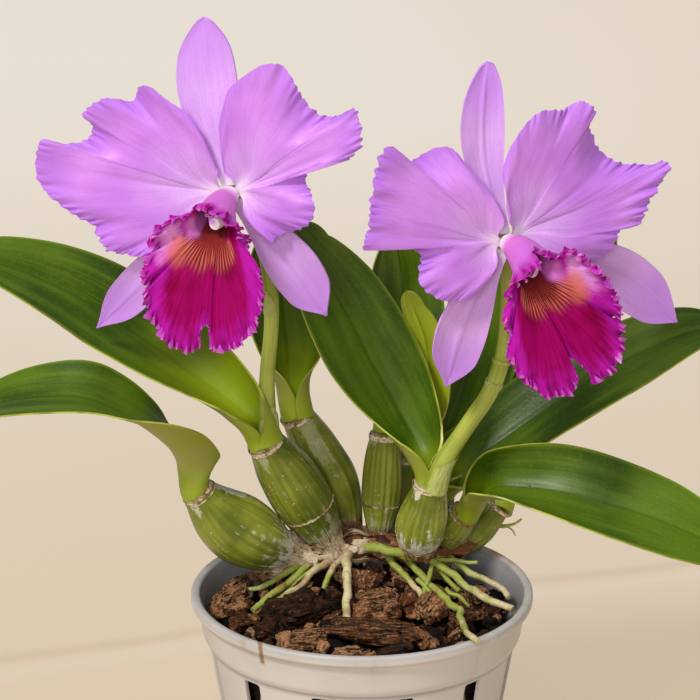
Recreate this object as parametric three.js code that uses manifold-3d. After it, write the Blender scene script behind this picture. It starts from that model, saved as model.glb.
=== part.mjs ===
// A cattleya orchid in flower, growing in bark in a slotted plastic pot.
// Millimetres, +Z up. The origin is the middle of the pot's base, and +X runs to the
// right when the plant is seen from its front, which looks along -Y.

import * as THREE from "three";
import { mergeVertices } from "three/addons/utils/BufferGeometryUtils.js";
import Module from "manifold-3d";

const wasm = await Module();
wasm.setup();

// ---------------------------------------------------------------- driving dimensions

const CLEARANCE = 0.3; // gap kept between touching pieces

const POT = {
  height: 130,
  lipRadius: 80,
  lipDepth: 5,
  collarTop: 76.5,
  collarFoot: 74.5,
  collarDepth: 22,
  bodyTop: 71.8,
  baseRadius: 54,
  footBevel: 1.5,
  shoulder: 2, // half the height of the step between body and collar
  lipBevel: 0.8,
  lipCrown: 1.8,
  lipInset: 2.4,
  wall: 2,
  floor: 3.5,
  segments: 36,
};

const SLOT = { count: 12, width: 10, top: 105, foot: 24 };

const BARK = {
  edgeDepth: 14, // below the rim, at the wall
  heapRise: 12, // the middle stands this much above the edge
  heapRadius: 72,
  heapCentre: 16, // towards the back, under the rhizome
  bedDrop: 2, // the bed between the chips lies this much lower
  segments: 18,
  rings: 4,
};

const CHIP = {
  count: 42,
  shortest: 9,
  longest: 26,
  narrowest: 0.4, // of its length
  widest: 0.75,
  thinnest: 5,
  thickest: 9,
  cornerPull: 0.22,
  tilt: 0.3,
  sink: 1.2,
  seed: 20,
};

const GOLDEN_ANGLE = Math.PI * (3 - Math.sqrt(5));

const BLADE = { petal: 0.8, sepal: 1, lip: 0.8, leaf: 1.6, leafEdge: 0.9 };

const v3 = (x, y, z) => new THREE.Vector3(x, y, z);
const degrees = (angle) => (angle * Math.PI) / 180;
const clamp01 = (x) => Math.min(1, Math.max(0, x));

function smooth(x) {
  const c = clamp01(x);
  return c * c * (3 - 2 * c);
}

// A smooth run through evenly spaced values, read at s from 0 to 1.
function profile(values, s) {
  const last = values.length - 1;
  const place = clamp01(s) * last;
  const i = Math.min(last - 1, Math.floor(place));
  const f = place - i;
  const at = (k) => values[Math.min(last, Math.max(0, k))];
  const a = at(i - 1);
  const b = at(i);
  const c = at(i + 1);
  const d = at(i + 2);
  return b + 0.5 * f * (c - a + f * (2 * a - 5 * b + 4 * c - d + f * (3 * (b - c) + d - a)));
}

// A small seeded generator, so that every draw is the same each time.
function seeded(seed) {
  let state = seed;
  return () => {
    state = (state * 1664525 + 1013904223) % 4294967296;
    return state / 4294967296;
  };
}

// ---------------------------------------------------------------- solids

function toSolid(geometry) {
  const bare = geometry.clone();
  bare.deleteAttribute("normal");
  bare.deleteAttribute("uv");
  const merged = mergeVertices(bare, 1e-4);
  return new wasm.Manifold(new wasm.Mesh({
    numProp: 3,
    vertProperties: new Float32Array(merged.attributes.position.array),
    triVerts: new Uint32Array(merged.index.array),
  }));
}

function toGeometry(solid) {
  const mesh = solid.getMesh();
  const geometry = new THREE.BufferGeometry();
  geometry.setAttribute("position", new THREE.BufferAttribute(mesh.vertProperties, 3));
  geometry.setIndex(new THREE.BufferAttribute(mesh.triVerts, 1));
  geometry.computeVertexNormals();
  return geometry;
}

// The biggest of the bodies that a cut leaves, without loose scraps.
function largest(solid) {
  return solid.decompose().reduce((best, body) => (body.volume() > best.volume() ? body : best));
}

function meshOf(points, triangles) {
  const geometry = new THREE.BufferGeometry();
  geometry.setAttribute("position", new THREE.Float32BufferAttribute(points.flatMap((p) => p.toArray()), 3));
  geometry.setIndex(triangles.flat());
  geometry.computeVertexNormals();
  return geometry;
}

// A thin blade round surface(s, t), with s from 0 to 1 and t from -1 to 1. Both faces are
// split along the same diagonals, so that they never cross.
function blade(surface, rows, columns, thickness) {
  const step = 1e-3;
  const front = [];
  const back = [];
  for (let i = 0; i <= rows; i += 1) {
    for (let j = 0; j <= columns; j += 1) {
      const s = i / rows;
      const t = (2 * j) / columns - 1;
      const along = surface(Math.min(1, s + step), t).sub(surface(Math.max(0, s - step), t));
      const across = surface(s, Math.min(1, t + step)).sub(surface(s, Math.max(-1, t - step)));
      const normal = along.cross(across).normalize().multiplyScalar(thickness(s, t) / 2);
      const middle = surface(s, t);
      front.push(middle.clone().add(normal));
      back.push(middle.clone().sub(normal));
    }
  }
  const offset = front.length;
  const at = (i, j) => i * (columns + 1) + j;
  const triangles = [];
  const face = (a, b, c) => {
    triangles.push([a, b, c]);
    triangles.push([offset + a, offset + c, offset + b]);
  };
  const wall = (a, b) => {
    triangles.push([a, offset + a, b]);
    triangles.push([b, offset + a, offset + b]);
  };
  for (let i = 0; i < rows; i += 1) {
    for (let j = 0; j < columns; j += 1) {
      face(at(i, j), at(i + 1, j), at(i, j + 1));
      face(at(i + 1, j), at(i + 1, j + 1), at(i, j + 1));
    }
    wall(at(i, 0), at(i + 1, 0));
    wall(at(i + 1, columns), at(i, columns));
  }
  for (let j = 0; j < columns; j += 1) {
    wall(at(0, j + 1), at(0, j));
    wall(at(rows, j), at(rows, j + 1));
  }
  return meshOf([...front, ...back], triangles);
}

function smoothCurve(path) {
  return new THREE.CatmullRomCurve3(path.map((p) => v3(...p)), false, "centripetal");
}

// A rod with closed ends along a smooth path. radius(s, angle) shapes its sections, growth
// thickens and lengthens it, and crowded rings keep its ends round.
function rod(path, radius, sides, steps, { growth = 0, crowded = false } = {}) {
  const curve = smoothCurve(path);
  const place = (s) => {
    const stretch = s === 0 ? -growth : s === 1 ? growth : 0;
    return curve.getPointAt(s).addScaledVector(curve.getTangentAt(s), stretch);
  };
  const points = [];
  let tangent = curve.getTangentAt(0);
  let side = Math.abs(tangent.z) > 0.9 ? v3(1, 0, 0) : v3(0, 0, 1);
  for (let i = 0; i <= steps; i += 1) {
    const s = crowded ? (1 - Math.cos((Math.PI * i) / steps)) / 2 : i / steps;
    tangent = curve.getTangentAt(s);
    side = side.addScaledVector(tangent, -side.dot(tangent)).normalize();
    const other = tangent.clone().cross(side);
    const middle = place(s);
    for (let j = 0; j < sides; j += 1) {
      const angle = (2 * Math.PI * j) / sides;
      const r = radius(s, angle) + growth;
      const arm = side.clone().multiplyScalar(r * Math.cos(angle)).addScaledVector(other, r * Math.sin(angle));
      points.push(middle.clone().add(arm));
    }
  }
  const triangles = [];
  for (let i = 0; i < steps; i += 1) {
    for (let j = 0; j < sides; j += 1) {
      const a = i * sides + j;
      const b = i * sides + ((j + 1) % sides);
      triangles.push([a, b, a + sides]);
      triangles.push([b, b + sides, a + sides]);
    }
  }
  const foot = points.length;
  points.push(place(0), place(1));
  for (let j = 0; j < sides; j += 1) {
    const next = (j + 1) % sides;
    triangles.push([foot, next, j]);
    triangles.push([foot + 1, steps * sides + j, steps * sides + next]);
  }
  return meshOf(points, triangles);
}

// ---------------------------------------------------------------- finishes

const FINISH = {
  pot: { color: 0xc9c3ba, roughness: 0.45 },
  bark: { color: 0x4a2f20, roughness: 0.9 },
  rhizome: { color: 0x8a7550, roughness: 0.8 },
  root: { color: 0x93a24f, roughness: 0.6 },
  bulb: { color: 0x76883a, roughness: 0.45 },
  leaf: { color: 0x3f6a1c, roughness: 0.35 },
  youngLeaf: { color: 0x9fae2e, roughness: 0.4 },
  stalk: { color: 0x8fa33c, roughness: 0.4 },
  petal: { color: 0xc98be4, roughness: 0.6 },
  sepal: { color: 0xc48ae6, roughness: 0.6 },
  lip: { color: 0xb0149a, roughness: 0.5 },
  column: { color: 0xf2d8ee, roughness: 0.5 },
};

const orchid = new THREE.Group();

function add(name, geometry, finish, parent = orchid) {
  const material = new THREE.MeshStandardMaterial({ ...FINISH[finish], metalness: 0 });
  const mesh = new THREE.Mesh(geometry, material);
  mesh.name = name;
  parent.add(mesh);
}

// ---------------------------------------------------------------- pot

function innerRadius(z) {
  const span = POT.height - POT.collarDepth;
  return POT.baseRadius + ((POT.bodyTop - POT.baseRadius) * Math.min(z, span)) / span - POT.wall;
}

function potGeometry() {
  const h = POT.height;
  const step = h - POT.collarDepth;
  const outline = [
    [0, 0],
    [POT.baseRadius - POT.footBevel, 0],
    [POT.baseRadius, POT.footBevel],
    [POT.bodyTop, step - POT.shoulder],
    [POT.collarFoot, step + POT.shoulder],
    [POT.collarTop, h - POT.lipDepth - POT.lipBevel],
    [POT.lipRadius - POT.lipBevel, h - POT.lipDepth],
    [POT.lipRadius, h - POT.lipDepth + POT.lipBevel],
    [POT.lipRadius, h - POT.lipCrown],
    [POT.lipRadius - POT.lipInset, h],
    [POT.collarTop - POT.lipBevel, h - POT.lipBevel],
    [POT.collarTop - POT.wall, h - POT.lipDepth],
    [POT.collarFoot - POT.wall, step + POT.shoulder],
    [innerRadius(step), step - POT.shoulder],
    [innerRadius(POT.floor), POT.floor],
    [0, POT.floor],
  ];
  const shell = new THREE.LatheGeometry(outline.map(([r, z]) => new THREE.Vector2(r, z)), POT.segments);
  shell.rotateX(Math.PI / 2);
  let pot = toSolid(shell);
  for (let i = 0; i < SLOT.count; i += 1) {
    const slot = new THREE.BoxGeometry(POT.lipRadius, SLOT.width, SLOT.top - SLOT.foot);
    slot.translate(POT.lipRadius / 2 + POT.baseRadius / 2, 0, (SLOT.top + SLOT.foot) / 2);
    slot.rotateZ(((i + 0.5) * 2 * Math.PI) / SLOT.count);
    pot = pot.subtract(toSolid(slot));
  }
  return toGeometry(pot);
}

// ---------------------------------------------------------------- rhizome, bulbs and roots

const RHIZOME = {
  path: [[-40, 19, 135], [-29, 22, 136], [-17, 27, 137], [-5, 31, 138], [8, 32, 138], [20, 30, 138],
    [32, 31, 137], [47, 38, 135]],
  girth: 4.6,
  belly: 0.8,
  joints: 7,
  jointSwell: 0.9,
};

function rhizomeSolid(growth) {
  const radius = (s) => RHIZOME.girth + RHIZOME.belly * Math.sin(Math.PI * s)
    + RHIZOME.jointSwell * Math.cos(2 * Math.PI * RHIZOME.joints * s);
  return toSolid(rod(RHIZOME.path, radius, 8, 18, { growth }));
}

// Each bulb runs up its path, and its radii are evenly spaced from its foot to its flat top.
const BULBS = {
  pseudobulb_1: { path: [[-31, 21, 138], [-47, 14, 147], [-63, 9, 160], [-77, 4, 178]],
    radii: [6, 10.5, 14.2, 16, 15.6, 13.2, 9.8, 6.6] },
  pseudobulb_2: { path: [[-15, 27, 141], [-26, 23, 162], [-37, 18, 182], [-46, 12, 198.5]],
    radii: [6, 9.6, 12.2, 13.3, 13.3, 12.3, 10.2, 8] },
  pseudobulb_3: { path: [[-4, 35, 137], [-6, 45, 145], [-13, 47, 166], [-24, 46, 187], [-32, 42, 203]],
    radii: [4.4, 5.6, 7.8, 9.7, 10.6, 10.4, 9.9, 8.7, 7.2] },
  pseudobulb_4: { path: [[8, 38, 141], [9, 40, 160], [10, 41, 177], [11, 42, 193]],
    radii: [5.4, 6.6, 8.2, 8.8, 8.8, 8.4, 7.6, 6.4] },
  pseudobulb_5: { path: [[27, 21, 140], [27.5, 17, 153], [30, 15, 165], [32, 13, 176]],
    radii: [6.4, 9.6, 11.2, 11.4, 10.8, 9.6, 8.4, 7.6] },
  pseudobulb_6: { path: [[38, 34, 138], [41, 33, 144], [45, 31, 150], [49, 28, 157]],
    radii: [5, 6.6, 7.6, 7.8, 7.6, 7.2, 6.8, 6.6] },
  pseudobulb_7: { path: [[46, 42, 134], [54, 48, 139], [60, 49, 145], [66, 50, 152]],
    radii: [4.6, 6.4, 7.4, 7.6, 7.4, 7, 6.4, 5.8] },
  pseudobulb_8: { path: [[28, 36, 136], [30, 48, 135.5], [34, 57, 141], [36, 58, 148], [37, 58, 154]],
    radii: [3.6, 3.8, 4, 4.4, 6, 7.6, 8, 7.7, 7] },
  new_shoot: { path: [[14, 35, 137], [16, 49, 136], [19.5, 56, 146], [21, 58, 162], [22, 58, 177]],
    radii: [2.8, 2.9, 3, 3.8, 4.4, 4.6, 4.6, 4.4, 4, 3.6] },
};

const RIB = { count: 6, depth: 0.5 };

function bulbSolid(bulb, growth) {
  const radius = (s, angle) => profile(bulb.radii, s)
    + RIB.depth * Math.sin(Math.PI * s) * Math.cos(RIB.count * angle);
  return toSolid(rod(bulb.path, radius, 2 * RIB.count, 9, { growth, crowded: true }));
}

const ROOTS = {
  root_01: [[-33, 15, 134], [-42, 12, 128.5], [-49, 12, 125], [-60, 14, 123.5]],
  root_02: [[-28, 16, 133], [-36, 9, 128], [-43, 2, 125.5], [-51, -7, 122]],
  root_03: [[-17, 21, 134], [-25, 12, 130.5], [-33, 4, 127], [-41, -2, 124]],
  root_04: [[-11, 23, 135], [-15, 15, 131], [-18, 11, 125]],
  root_05: [[-6, 25, 138], [-7, 8, 136.5], [-7, -8, 132], [-7, -21, 123]],
  root_06: [[9, 26, 140], [18, 21, 138.5], [33, 21, 135.5], [41, 14, 132], [48, 5, 130], [58, -9, 128.5],
    [70, -18, 127]],
  root_07: [[14, 24, 134], [21, 13, 130], [27, 3, 127], [29, -7, 123.5]],
  root_08: [[23, 24, 133], [30, 12, 129], [38, -5, 128], [44, -19, 128], [46, -39, 129], [48, -58, 132],
    [52, -68, 133]],
  root_09: [[40, 33, 134], [48, 25, 130], [57, 17, 127.5], [66, 10, 126], [69, 3, 124]],
  root_10: [[32, 27, 133], [39, 19, 128], [46, 13, 123]],
};

const ROOT = { foot: 2.1, tip: 1.4 };

function rootSolid(path, growth) {
  const radius = (s) => ROOT.foot + (ROOT.tip - ROOT.foot) * s;
  return toSolid(rod(path, radius, 6, path.length + 3, { growth }));
}

// ---------------------------------------------------------------- bark

function heapHeight(x, y) {
  const spread = Math.hypot(x, y - BARK.heapCentre) / BARK.heapRadius;
  return POT.height - BARK.edgeDepth + BARK.heapRise * (1 - smooth(spread));
}

const between = (low, high, share) => low + (high - low) * share;

// One chip round the origin: a block with its corners pulled about, lying nearly flat.
// Small chips are commoner than big ones.
function chip(draw) {
  const long = between(CHIP.shortest, CHIP.longest, draw() * draw());
  const wide = long * between(CHIP.narrowest, CHIP.widest, draw());
  const geometry = new THREE.BoxGeometry(long, wide, between(CHIP.thinnest, CHIP.thickest, draw()));
  geometry.deleteAttribute("normal");
  geometry.deleteAttribute("uv");
  const block = mergeVertices(geometry, 1e-4);
  const corners = block.attributes.position;
  const pull = () => between(1 - CHIP.cornerPull, 1 + CHIP.cornerPull, draw());
  for (let i = 0; i < corners.count; i += 1) {
    const rise = corners.getZ(i) * pull();
    corners.setXYZ(i, corners.getX(i) * pull(), corners.getY(i) * pull(), rise);
  }
  block.rotateX(between(-CHIP.tilt, CHIP.tilt, draw()));
  block.rotateY(between(-CHIP.tilt, CHIP.tilt, draw()));
  block.rotateZ(2 * Math.PI * draw());
  return { solid: toSolid(block), reach: Math.hypot(long, wide) / 2 };
}

// The bark fills the pot to its wall, and chips lie over its top in a widening spiral.
function barkGeometry(holes) {
  const edge = POT.height - BARK.edgeDepth - BARK.bedDrop;
  const foot = POT.floor + CLEARANCE;
  const facet = 1 / Math.cos(Math.PI / POT.segments);
  const bedRadius = (z) => innerRadius(z) / facet - CLEARANCE;
  const outline = [[0, foot], [bedRadius(foot), foot], [bedRadius(edge), edge]];
  for (let i = 1; i <= BARK.rings; i += 1) {
    const share = i / BARK.rings;
    outline.push([(bedRadius(edge) - 1) * (1 - share), edge + (BARK.heapRise - 1) * smooth(share)]);
  }
  const core = new THREE.LatheGeometry(outline.map(([r, z]) => new THREE.Vector2(r, z)), BARK.segments);
  core.rotateX(Math.PI / 2);
  let bed = toSolid(core);
  const draw = seeded(CHIP.seed);
  const limit = bedRadius(POT.height - POT.collarDepth);
  for (let i = 0; i < CHIP.count; i += 1) {
    const piece = chip(draw);
    const r = Math.min(limit * Math.sqrt((i + 0.5) / CHIP.count), limit - piece.reach);
    const turn = i * GOLDEN_ANGLE + between(-0.25, 0.25, draw());
    const x = r * Math.cos(turn);
    const y = r * Math.sin(turn);
    bed = bed.add(piece.solid.translate([x, y, heapHeight(x, y) + between(-CHIP.sink, CHIP.sink, draw())]));
  }
  return toGeometry(largest(holes.reduce((body, hole) => body.subtract(hole), bed)));
}

// ---------------------------------------------------------------- leaves

// A strap leaf: folded to a channel at its foot, opening flat with a keel along its middle.
const LEAF_WIDTHS = [0.26, 0.6, 0.86, 0.96, 1, 0.96, 0.84, 0.58, 0.1];
const LEAF_FOLDS = [76, 70, 46, 28, 19, 14, 12, 10, 8];
const LEAF = { rows: 10, columns: 6, keel: 0.1, wave: 0.03, waves: 11 };

const LEAVES = {
  leaf_1: { halfWidth: 22, face: [0.1, -0.22, 1], finish: "leaf",
    footFace: [0.4, 0.6, 1],
    path: [[-76.5, 4, 177], [-80, 1, 191], [-86, -4, 204], [-97, -10, 216], [-110, -15, 225],
      [-124, -19, 231], [-140, -21, 233], [-164, -22, 230], [-192, -20, 219]] },
  leaf_2: { halfWidth: 23, face: [-0.35, -0.62, 1], finish: "leaf",
    path: [[-48.5, 14, 197], [-57, 17, 211], [-66, 20, 219], [-86, 24, 234], [-110, 26, 251],
      [-135, 26, 267], [-166, 22, 282], [-191, 17, 291]] },
  leaf_3: { halfWidth: 19, face: [0.2, -1, 0.25], finish: "leaf",
    path: [[-31.5, 42, 201], [-33, 48, 216], [-35, 54, 234], [-38, 58, 256], [-40, 58, 275], [-43, 54, 295]] },
  leaf_4: { halfWidth: 23, face: [0.25, -1, 0.45], finish: "leaf",
    path: [[28.5, 16, 174], [25, 23, 193], [16, 31, 210], [3, 38, 232], [-9, 42, 255], [-22, 42, 278],
      [-32, 39, 296]] },
  leaf_5: { halfWidth: 20, face: [0.2, -1, 0.2], finish: "leaf",
    path: [[11, 42, 191], [15, 62, 208], [19, 78, 226], [20, 86, 249], [18, 86, 266], [15, 82, 284]] },
  leaf_6: { halfWidth: 22, face: [0.1, -0.85, 1], finish: "leaf",
    path: [[48.5, 28.5, 155.5], [53, 25, 166], [61, 18, 173], [75, 12, 175], [93, 6, 176], [117, 0, 171.5],
      [137, -4, 166], [157, -7, 158], [181, -10, 146]] },
  leaf_7: { halfWidth: 22, face: [-0.2, -0.75, 1], finish: "leaf",
    path: [[39, 56, 152], [45, 60, 162], [64, 65, 177], [93, 67, 198], [122, 64, 218], [151, 58, 235],
      [177, 51, 244]] },
  leaf_8: { halfWidth: 21, face: [-0.1, -1, 0.3], finish: "leaf",
    path: [[35, 61, 152], [41, 75, 176], [51, 88, 199], [57, 95, 222], [60, 97, 247], [58, 93, 268]] },
  leaf_9: { halfWidth: 18, face: [-0.3, -1, 0.35], finish: "leaf",
    path: [[65.5, 50, 150], [75, 74, 165], [87, 93, 186], [98, 103, 211], [110, 106, 244], [119, 101, 277]] },
  young_leaf: { halfWidth: 11, face: [-0.2, -1, 0.2], finish: "youngLeaf",
    path: [[22, 58, 175], [28, 49, 190], [32, 43, 212], [30, 42, 238], [21, 44, 262]] },
};

function leafGeometry(leaf) {
  const curve = smoothCurve(leaf.path);
  const face = v3(...leaf.face).normalize();
  const footFace = v3(...(leaf.footFace ?? leaf.face)).normalize();
  const surface = (s, t) => {
    const middle = curve.getPointAt(s);
    const along = curve.getTangentAt(s);
    const across = along.clone().cross(footFace.clone().lerp(face, smooth(s * 2))).normalize();
    const up = across.clone().cross(along);
    const half = leaf.halfWidth * profile(LEAF_WIDTHS, s);
    const fold = degrees(profile(LEAF_FOLDS, s));
    const raised = half * (Math.hypot(t, LEAF.keel) - LEAF.keel) * Math.sin(fold);
    const wave = LEAF.wave * half * t * t * Math.sin(LEAF.waves * s + 2 * t);
    return middle.addScaledVector(across, half * t * Math.cos(fold)).addScaledVector(up, raised + wave);
  };
  const thickness = (s, t) => BLADE.leaf + (BLADE.leafEdge - BLADE.leaf) * t * t;
  return blade(surface, LEAF.rows, LEAF.columns, thickness);
}

// ---------------------------------------------------------------- blooms

// Every bloom is made in its own frame: x to the right, y up and z out of its face, with
// the knob that carries its parts on the z axis. Radii of a petal's margin are spaced
// evenly in angle, and the lip's are measured round its throat.
const KNOB = { radius: 3.3, foot: -2, top: 4.8 };
const RING = { sepal: 0.7, petal: 2.5, lip: 4.4, radius: 3.9 };

const BLOOMS = {
  bloom_1: {
    centre: [-58.5, -12, 326], yaw: -12, pitch: 4,
    petals: {
      left: { from: 114, to: 234, lift: 0, phase: 0.4,
        radii: [34, 53, 62, 63, 73, 74, 73, 88, 87, 77, 67, 63, 58, 46, 36, 24] },
      right: { from: -50, to: 102, lift: 3, phase: 2.1,
        radii: [16, 27, 29, 32, 36, 39, 40, 38, 44, 62, 69, 63, 56, 57, 63, 65, 60, 52, 37, 20] },
    },
    sepals: {
      dorsal: { angle: 101, length: 75, halfWidth: 14, bow: 2.5, lean: 7 },
      left: { angle: 226.5, length: 91, halfWidth: 10.5, bow: 0, lean: 9 },
      right: { angle: 307, length: 66, halfWidth: 12, bow: 3, lean: 9 },
    },
    lip: { throat: [-1.6, -10.3], reach: 30,
      radii: [17, 17, 18, 20, 25, 29, 35, 43, 51, 55, 50, 51, 46, 37, 27, 21, 17, 16, 16, 16, 16] },
  },
  bloom_2: {
    centre: [64, -10, 303], yaw: 20, pitch: 4,
    petals: {
      left: { from: 106, to: 234, lift: 0, phase: 1.3,
        radii: [22, 32, 53, 60, 72, 78, 74, 72, 70, 52, 43, 46, 44, 41, 36, 28, 18] },
      right: { from: -22, to: 98, lift: 0, phase: 3.2,
        radii: [30, 42, 50, 57, 67, 78, 69, 61, 59, 62, 71, 65, 63, 57, 48, 26] },
    },
    sepals: {
      dorsal: { angle: 93, length: 77, halfWidth: 10.5, bow: 7, lean: 7 },
      left: { angle: 249, length: 68, halfWidth: 12.5, bow: -5, lean: 9 },
      right: { angle: 331, length: 98, halfWidth: 13, bow: 8, lean: 8 },
    },
    lip: { throat: [4.7, -11.3], reach: 30,
      radii: [17, 17, 17, 18, 19, 21, 25, 29, 37, 45, 50, 50, 54, 52, 46, 36, 30, 25, 22, 20, 17] },
  },
};

const PETAL = { rows: 8, ruffle: 3.8, waves: 11, dish: 5, claw: 0.62 };
const SEPAL = { rows: 10, columns: 4, setBack: 1.5, cup: 0.16 };
const SEPAL_WIDTHS = [0.24, 0.4, 0.62, 0.83, 0.97, 1, 0.87, 0.58, 0.08];
const THROAT = { base: 4.2, mouth: 10.5, seam: 0.95 };
const LIP = { rows: 9, columns: 26, ruffle: 4.2, waves: 23, rise: 9 };

function petalGeometry(petal) {
  const span = degrees(petal.to - petal.from) / 2;
  const middle = degrees(petal.to + petal.from) / 2;
  const surface = (s, t) => {
    const r = RING.radius + (profile(petal.radii, (t + 1) / 2) - RING.radius) * s;
    const angle = middle + span * t * (1 - PETAL.claw * (1 - smooth(s * 2.2)));
    const edge = s * s * s;
    const ruffle = PETAL.ruffle * edge * Math.sin(PETAL.waves * t + petal.phase);
    const dish = PETAL.dish * Math.sin(Math.PI * Math.min(1, s * 0.8)) + petal.lift * s;
    return v3(r * Math.cos(angle), r * Math.sin(angle), RING.petal + dish * smooth(s * 3) + ruffle);
  };
  return blade(surface, PETAL.rows, petal.radii.length - 1, () => BLADE.petal);
}

function sepalGeometry(sepal) {
  const angle = degrees(sepal.angle);
  const along = v3(Math.cos(angle), Math.sin(angle), 0);
  const across = v3(-Math.sin(angle), Math.cos(angle), 0);
  const surface = (s, t) => {
    const half = sepal.halfWidth * profile(SEPAL_WIDTHS, s);
    const side = sepal.bow * Math.sin(Math.PI * s) + half * t;
    const depth = RING.sepal - sepal.lean * s * s - SEPAL.setBack * smooth(s * 4) + SEPAL.cup * half * t * t;
    return along.clone().multiplyScalar(RING.radius + sepal.length * s)
      .addScaledVector(across, side).setZ(depth);
  };
  return blade(surface, SEPAL.rows, SEPAL.columns, () => BLADE.sepal);
}

// How far round the tube or front of the lip reaches to each side of its lowest line.
const LIP_SPANS = [150, 186, 182, 166, 150, 143, 140];
const LIP_MOUTH = 0.42;

// The axis that the lip's tube and the column share, at a share of the way to the throat.
function throatAxis(lip, share) {
  return v3(lip.throat[0] * share, lip.throat[1] * share, RING.lip + (lip.reach - RING.lip) * share);
}

// The lip is rolled into a tube round the column, its sides meeting on top, and opens from
// its throat into a wide ruffled front.
function lipGeometry(lip) {
  const surface = (s, t) => {
    const tube = clamp01(s / LIP_MOUTH);
    const flare = clamp01((s - LIP_MOUTH) / (1 - LIP_MOUTH));
    const angle = degrees(-90 + t * profile(LIP_SPANS, s));
    const throat = THROAT.base + (THROAT.mouth - THROAT.base) * smooth(tube)
      + THROAT.seam * t * smooth(tube * 3);
    const margin = profile(lip.radii, (t + 1) / 2);
    const radius = throat + (margin - throat) * flare;
    const ruffle = LIP.ruffle * flare ** 3 * Math.sin(LIP.waves * t + 1);
    const rise = LIP.rise * Math.sin(0.78 * Math.PI * flare) * (0.6 + 0.4 * Math.cos(degrees(90) * t));
    const arm = v3(radius * Math.cos(angle), radius * Math.sin(angle), rise + ruffle);
    return throatAxis(lip, tube).add(arm);
  };
  return blade(surface, LIP.rows, LIP.columns, () => BLADE.lip);
}

const COLUMN_RADII = [2.6, 2.6, 2.7, 3.2, 3.9, 4.2, 2.6];

function columnGeometry(lip) {
  const foot = v3(0, 0, KNOB.top + CLEARANCE);
  const path = [foot, foot.clone().setZ(foot.z + 1.5), throatAxis(lip, 0.4), throatAxis(lip, 0.8)];
  return rod(path.map((p) => p.toArray()), (s) => profile(COLUMN_RADII, s), 8, 6);
}

const blooms = {};

for (const [name, bloom] of Object.entries(BLOOMS)) {
  const group = new THREE.Group();
  const yaw = degrees(bloom.yaw);
  const pitch = degrees(bloom.pitch);
  const out = v3(Math.sin(yaw) * Math.cos(pitch), -Math.cos(yaw) * Math.cos(pitch), Math.sin(pitch));
  const right = v3(Math.cos(yaw), Math.sin(yaw), 0);
  const up = out.clone().cross(right);
  group.position.set(...bloom.centre);
  group.quaternion.setFromRotationMatrix(new THREE.Matrix4().makeBasis(right, up, out));
  orchid.add(group);
  blooms[name] = (distance) => v3(...bloom.centre).addScaledVector(out, distance).toArray();
  for (const [side, petal] of Object.entries(bloom.petals)) {
    add(`${name}_petal_${side}`, petalGeometry(petal), "petal", group);
  }
  for (const [side, sepal] of Object.entries(bloom.sepals)) {
    add(`${name}_sepal_${side}`, sepalGeometry(sepal), "sepal", group);
  }
  add(`${name}_lip`, lipGeometry(bloom.lip), "lip", group);
  add(`${name}_column`, columnGeometry(bloom.lip), "column", group);
}

// ---------------------------------------------------------------- flower stalks

// A stalk rises from the top of its bulb and thickens behind its bloom into the ovary,
// which ends in the knob that carries the bloom.
const OVARY = { start: -12, radius: 4.6 };

const STALKS = {
  flower_stalk_1: { bloom: "bloom_1",
    path: [[-42.5, 9.5, 197], [-44, 12, 212], [-44, 15, 231], [-42, 17, 253], [-42, 16, 273], [-45, 12, 294],
      [-51, 8, 312]],
    radii: [4.6, 4.2, 3.6, 3.4, 3.4, 3.4, 3.4, 3.6] },
  flower_stalk_2: { bloom: "bloom_2",
    path: [[34, 10, 174], [39, 9, 192], [48, 6, 209], [56, 4, 226], [62, 4, 241], [66, 6, 256], [68, 8, 272],
      [66, 7, 288]],
    radii: [4.8, 5, 4.2, 4, 4, 3.9, 3.7, 3.7] },
};

function stalkSolid(stalk, growth) {
  const knob = [OVARY.start, KNOB.foot, KNOB.top].map(blooms[stalk.bloom]);
  const radius = (s) => profile([...stalk.radii, OVARY.radius, KNOB.radius], s);
  return toSolid(rod([...stalk.path, ...knob], radius, 8, 20, { growth }));
}

// ---------------------------------------------------------------- the planting

const cut = (solid, tools) => largest(tools.reduce((body, tool) => body.subtract(tool), solid));

const grownRhizome = rhizomeSolid(CLEARANCE);
const grownBulbs = Object.values(BULBS).map((bulb) => bulbSolid(bulb, CLEARANCE));
const grownRoots = Object.values(ROOTS).map((path) => rootSolid(path, CLEARANCE));
const grownStalks = Object.values(STALKS).map((stalk) => stalkSolid(stalk, CLEARANCE));

add("pot", potGeometry(), "pot");
add("potting_bark", barkGeometry([grownRhizome, ...grownBulbs, ...grownRoots]), "bark");
add("rhizome", toGeometry(rhizomeSolid(0)), "rhizome");

for (const [name, bulb] of Object.entries(BULBS)) {
  add(name, toGeometry(cut(bulbSolid(bulb, 0), [grownRhizome])), "bulb");
}

for (const [name, path] of Object.entries(ROOTS)) {
  add(name, toGeometry(cut(rootSolid(path, 0), [grownRhizome, ...grownBulbs])), "root");
}

for (const [name, stalk] of Object.entries(STALKS)) {
  add(name, toGeometry(cut(stalkSolid(stalk, 0), grownBulbs)), "stalk");
}

for (const [name, leaf] of Object.entries(LEAVES)) {
  const solid = toSolid(leafGeometry(leaf));
  add(name, toGeometry(cut(solid, [...grownBulbs, ...grownStalks])), leaf.finish);
}

export default orchid;
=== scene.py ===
"""A cattleya orchid in flower, growing in bark in a slotted plastic pot.

Lengths in the tables below are millimetres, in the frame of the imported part: +Z up, +X to
the right, and the front of the plant towards -Y.
"""

import math
import random
from functools import lru_cache

import bpy
from mathutils import Matrix, Vector, noise


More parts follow.
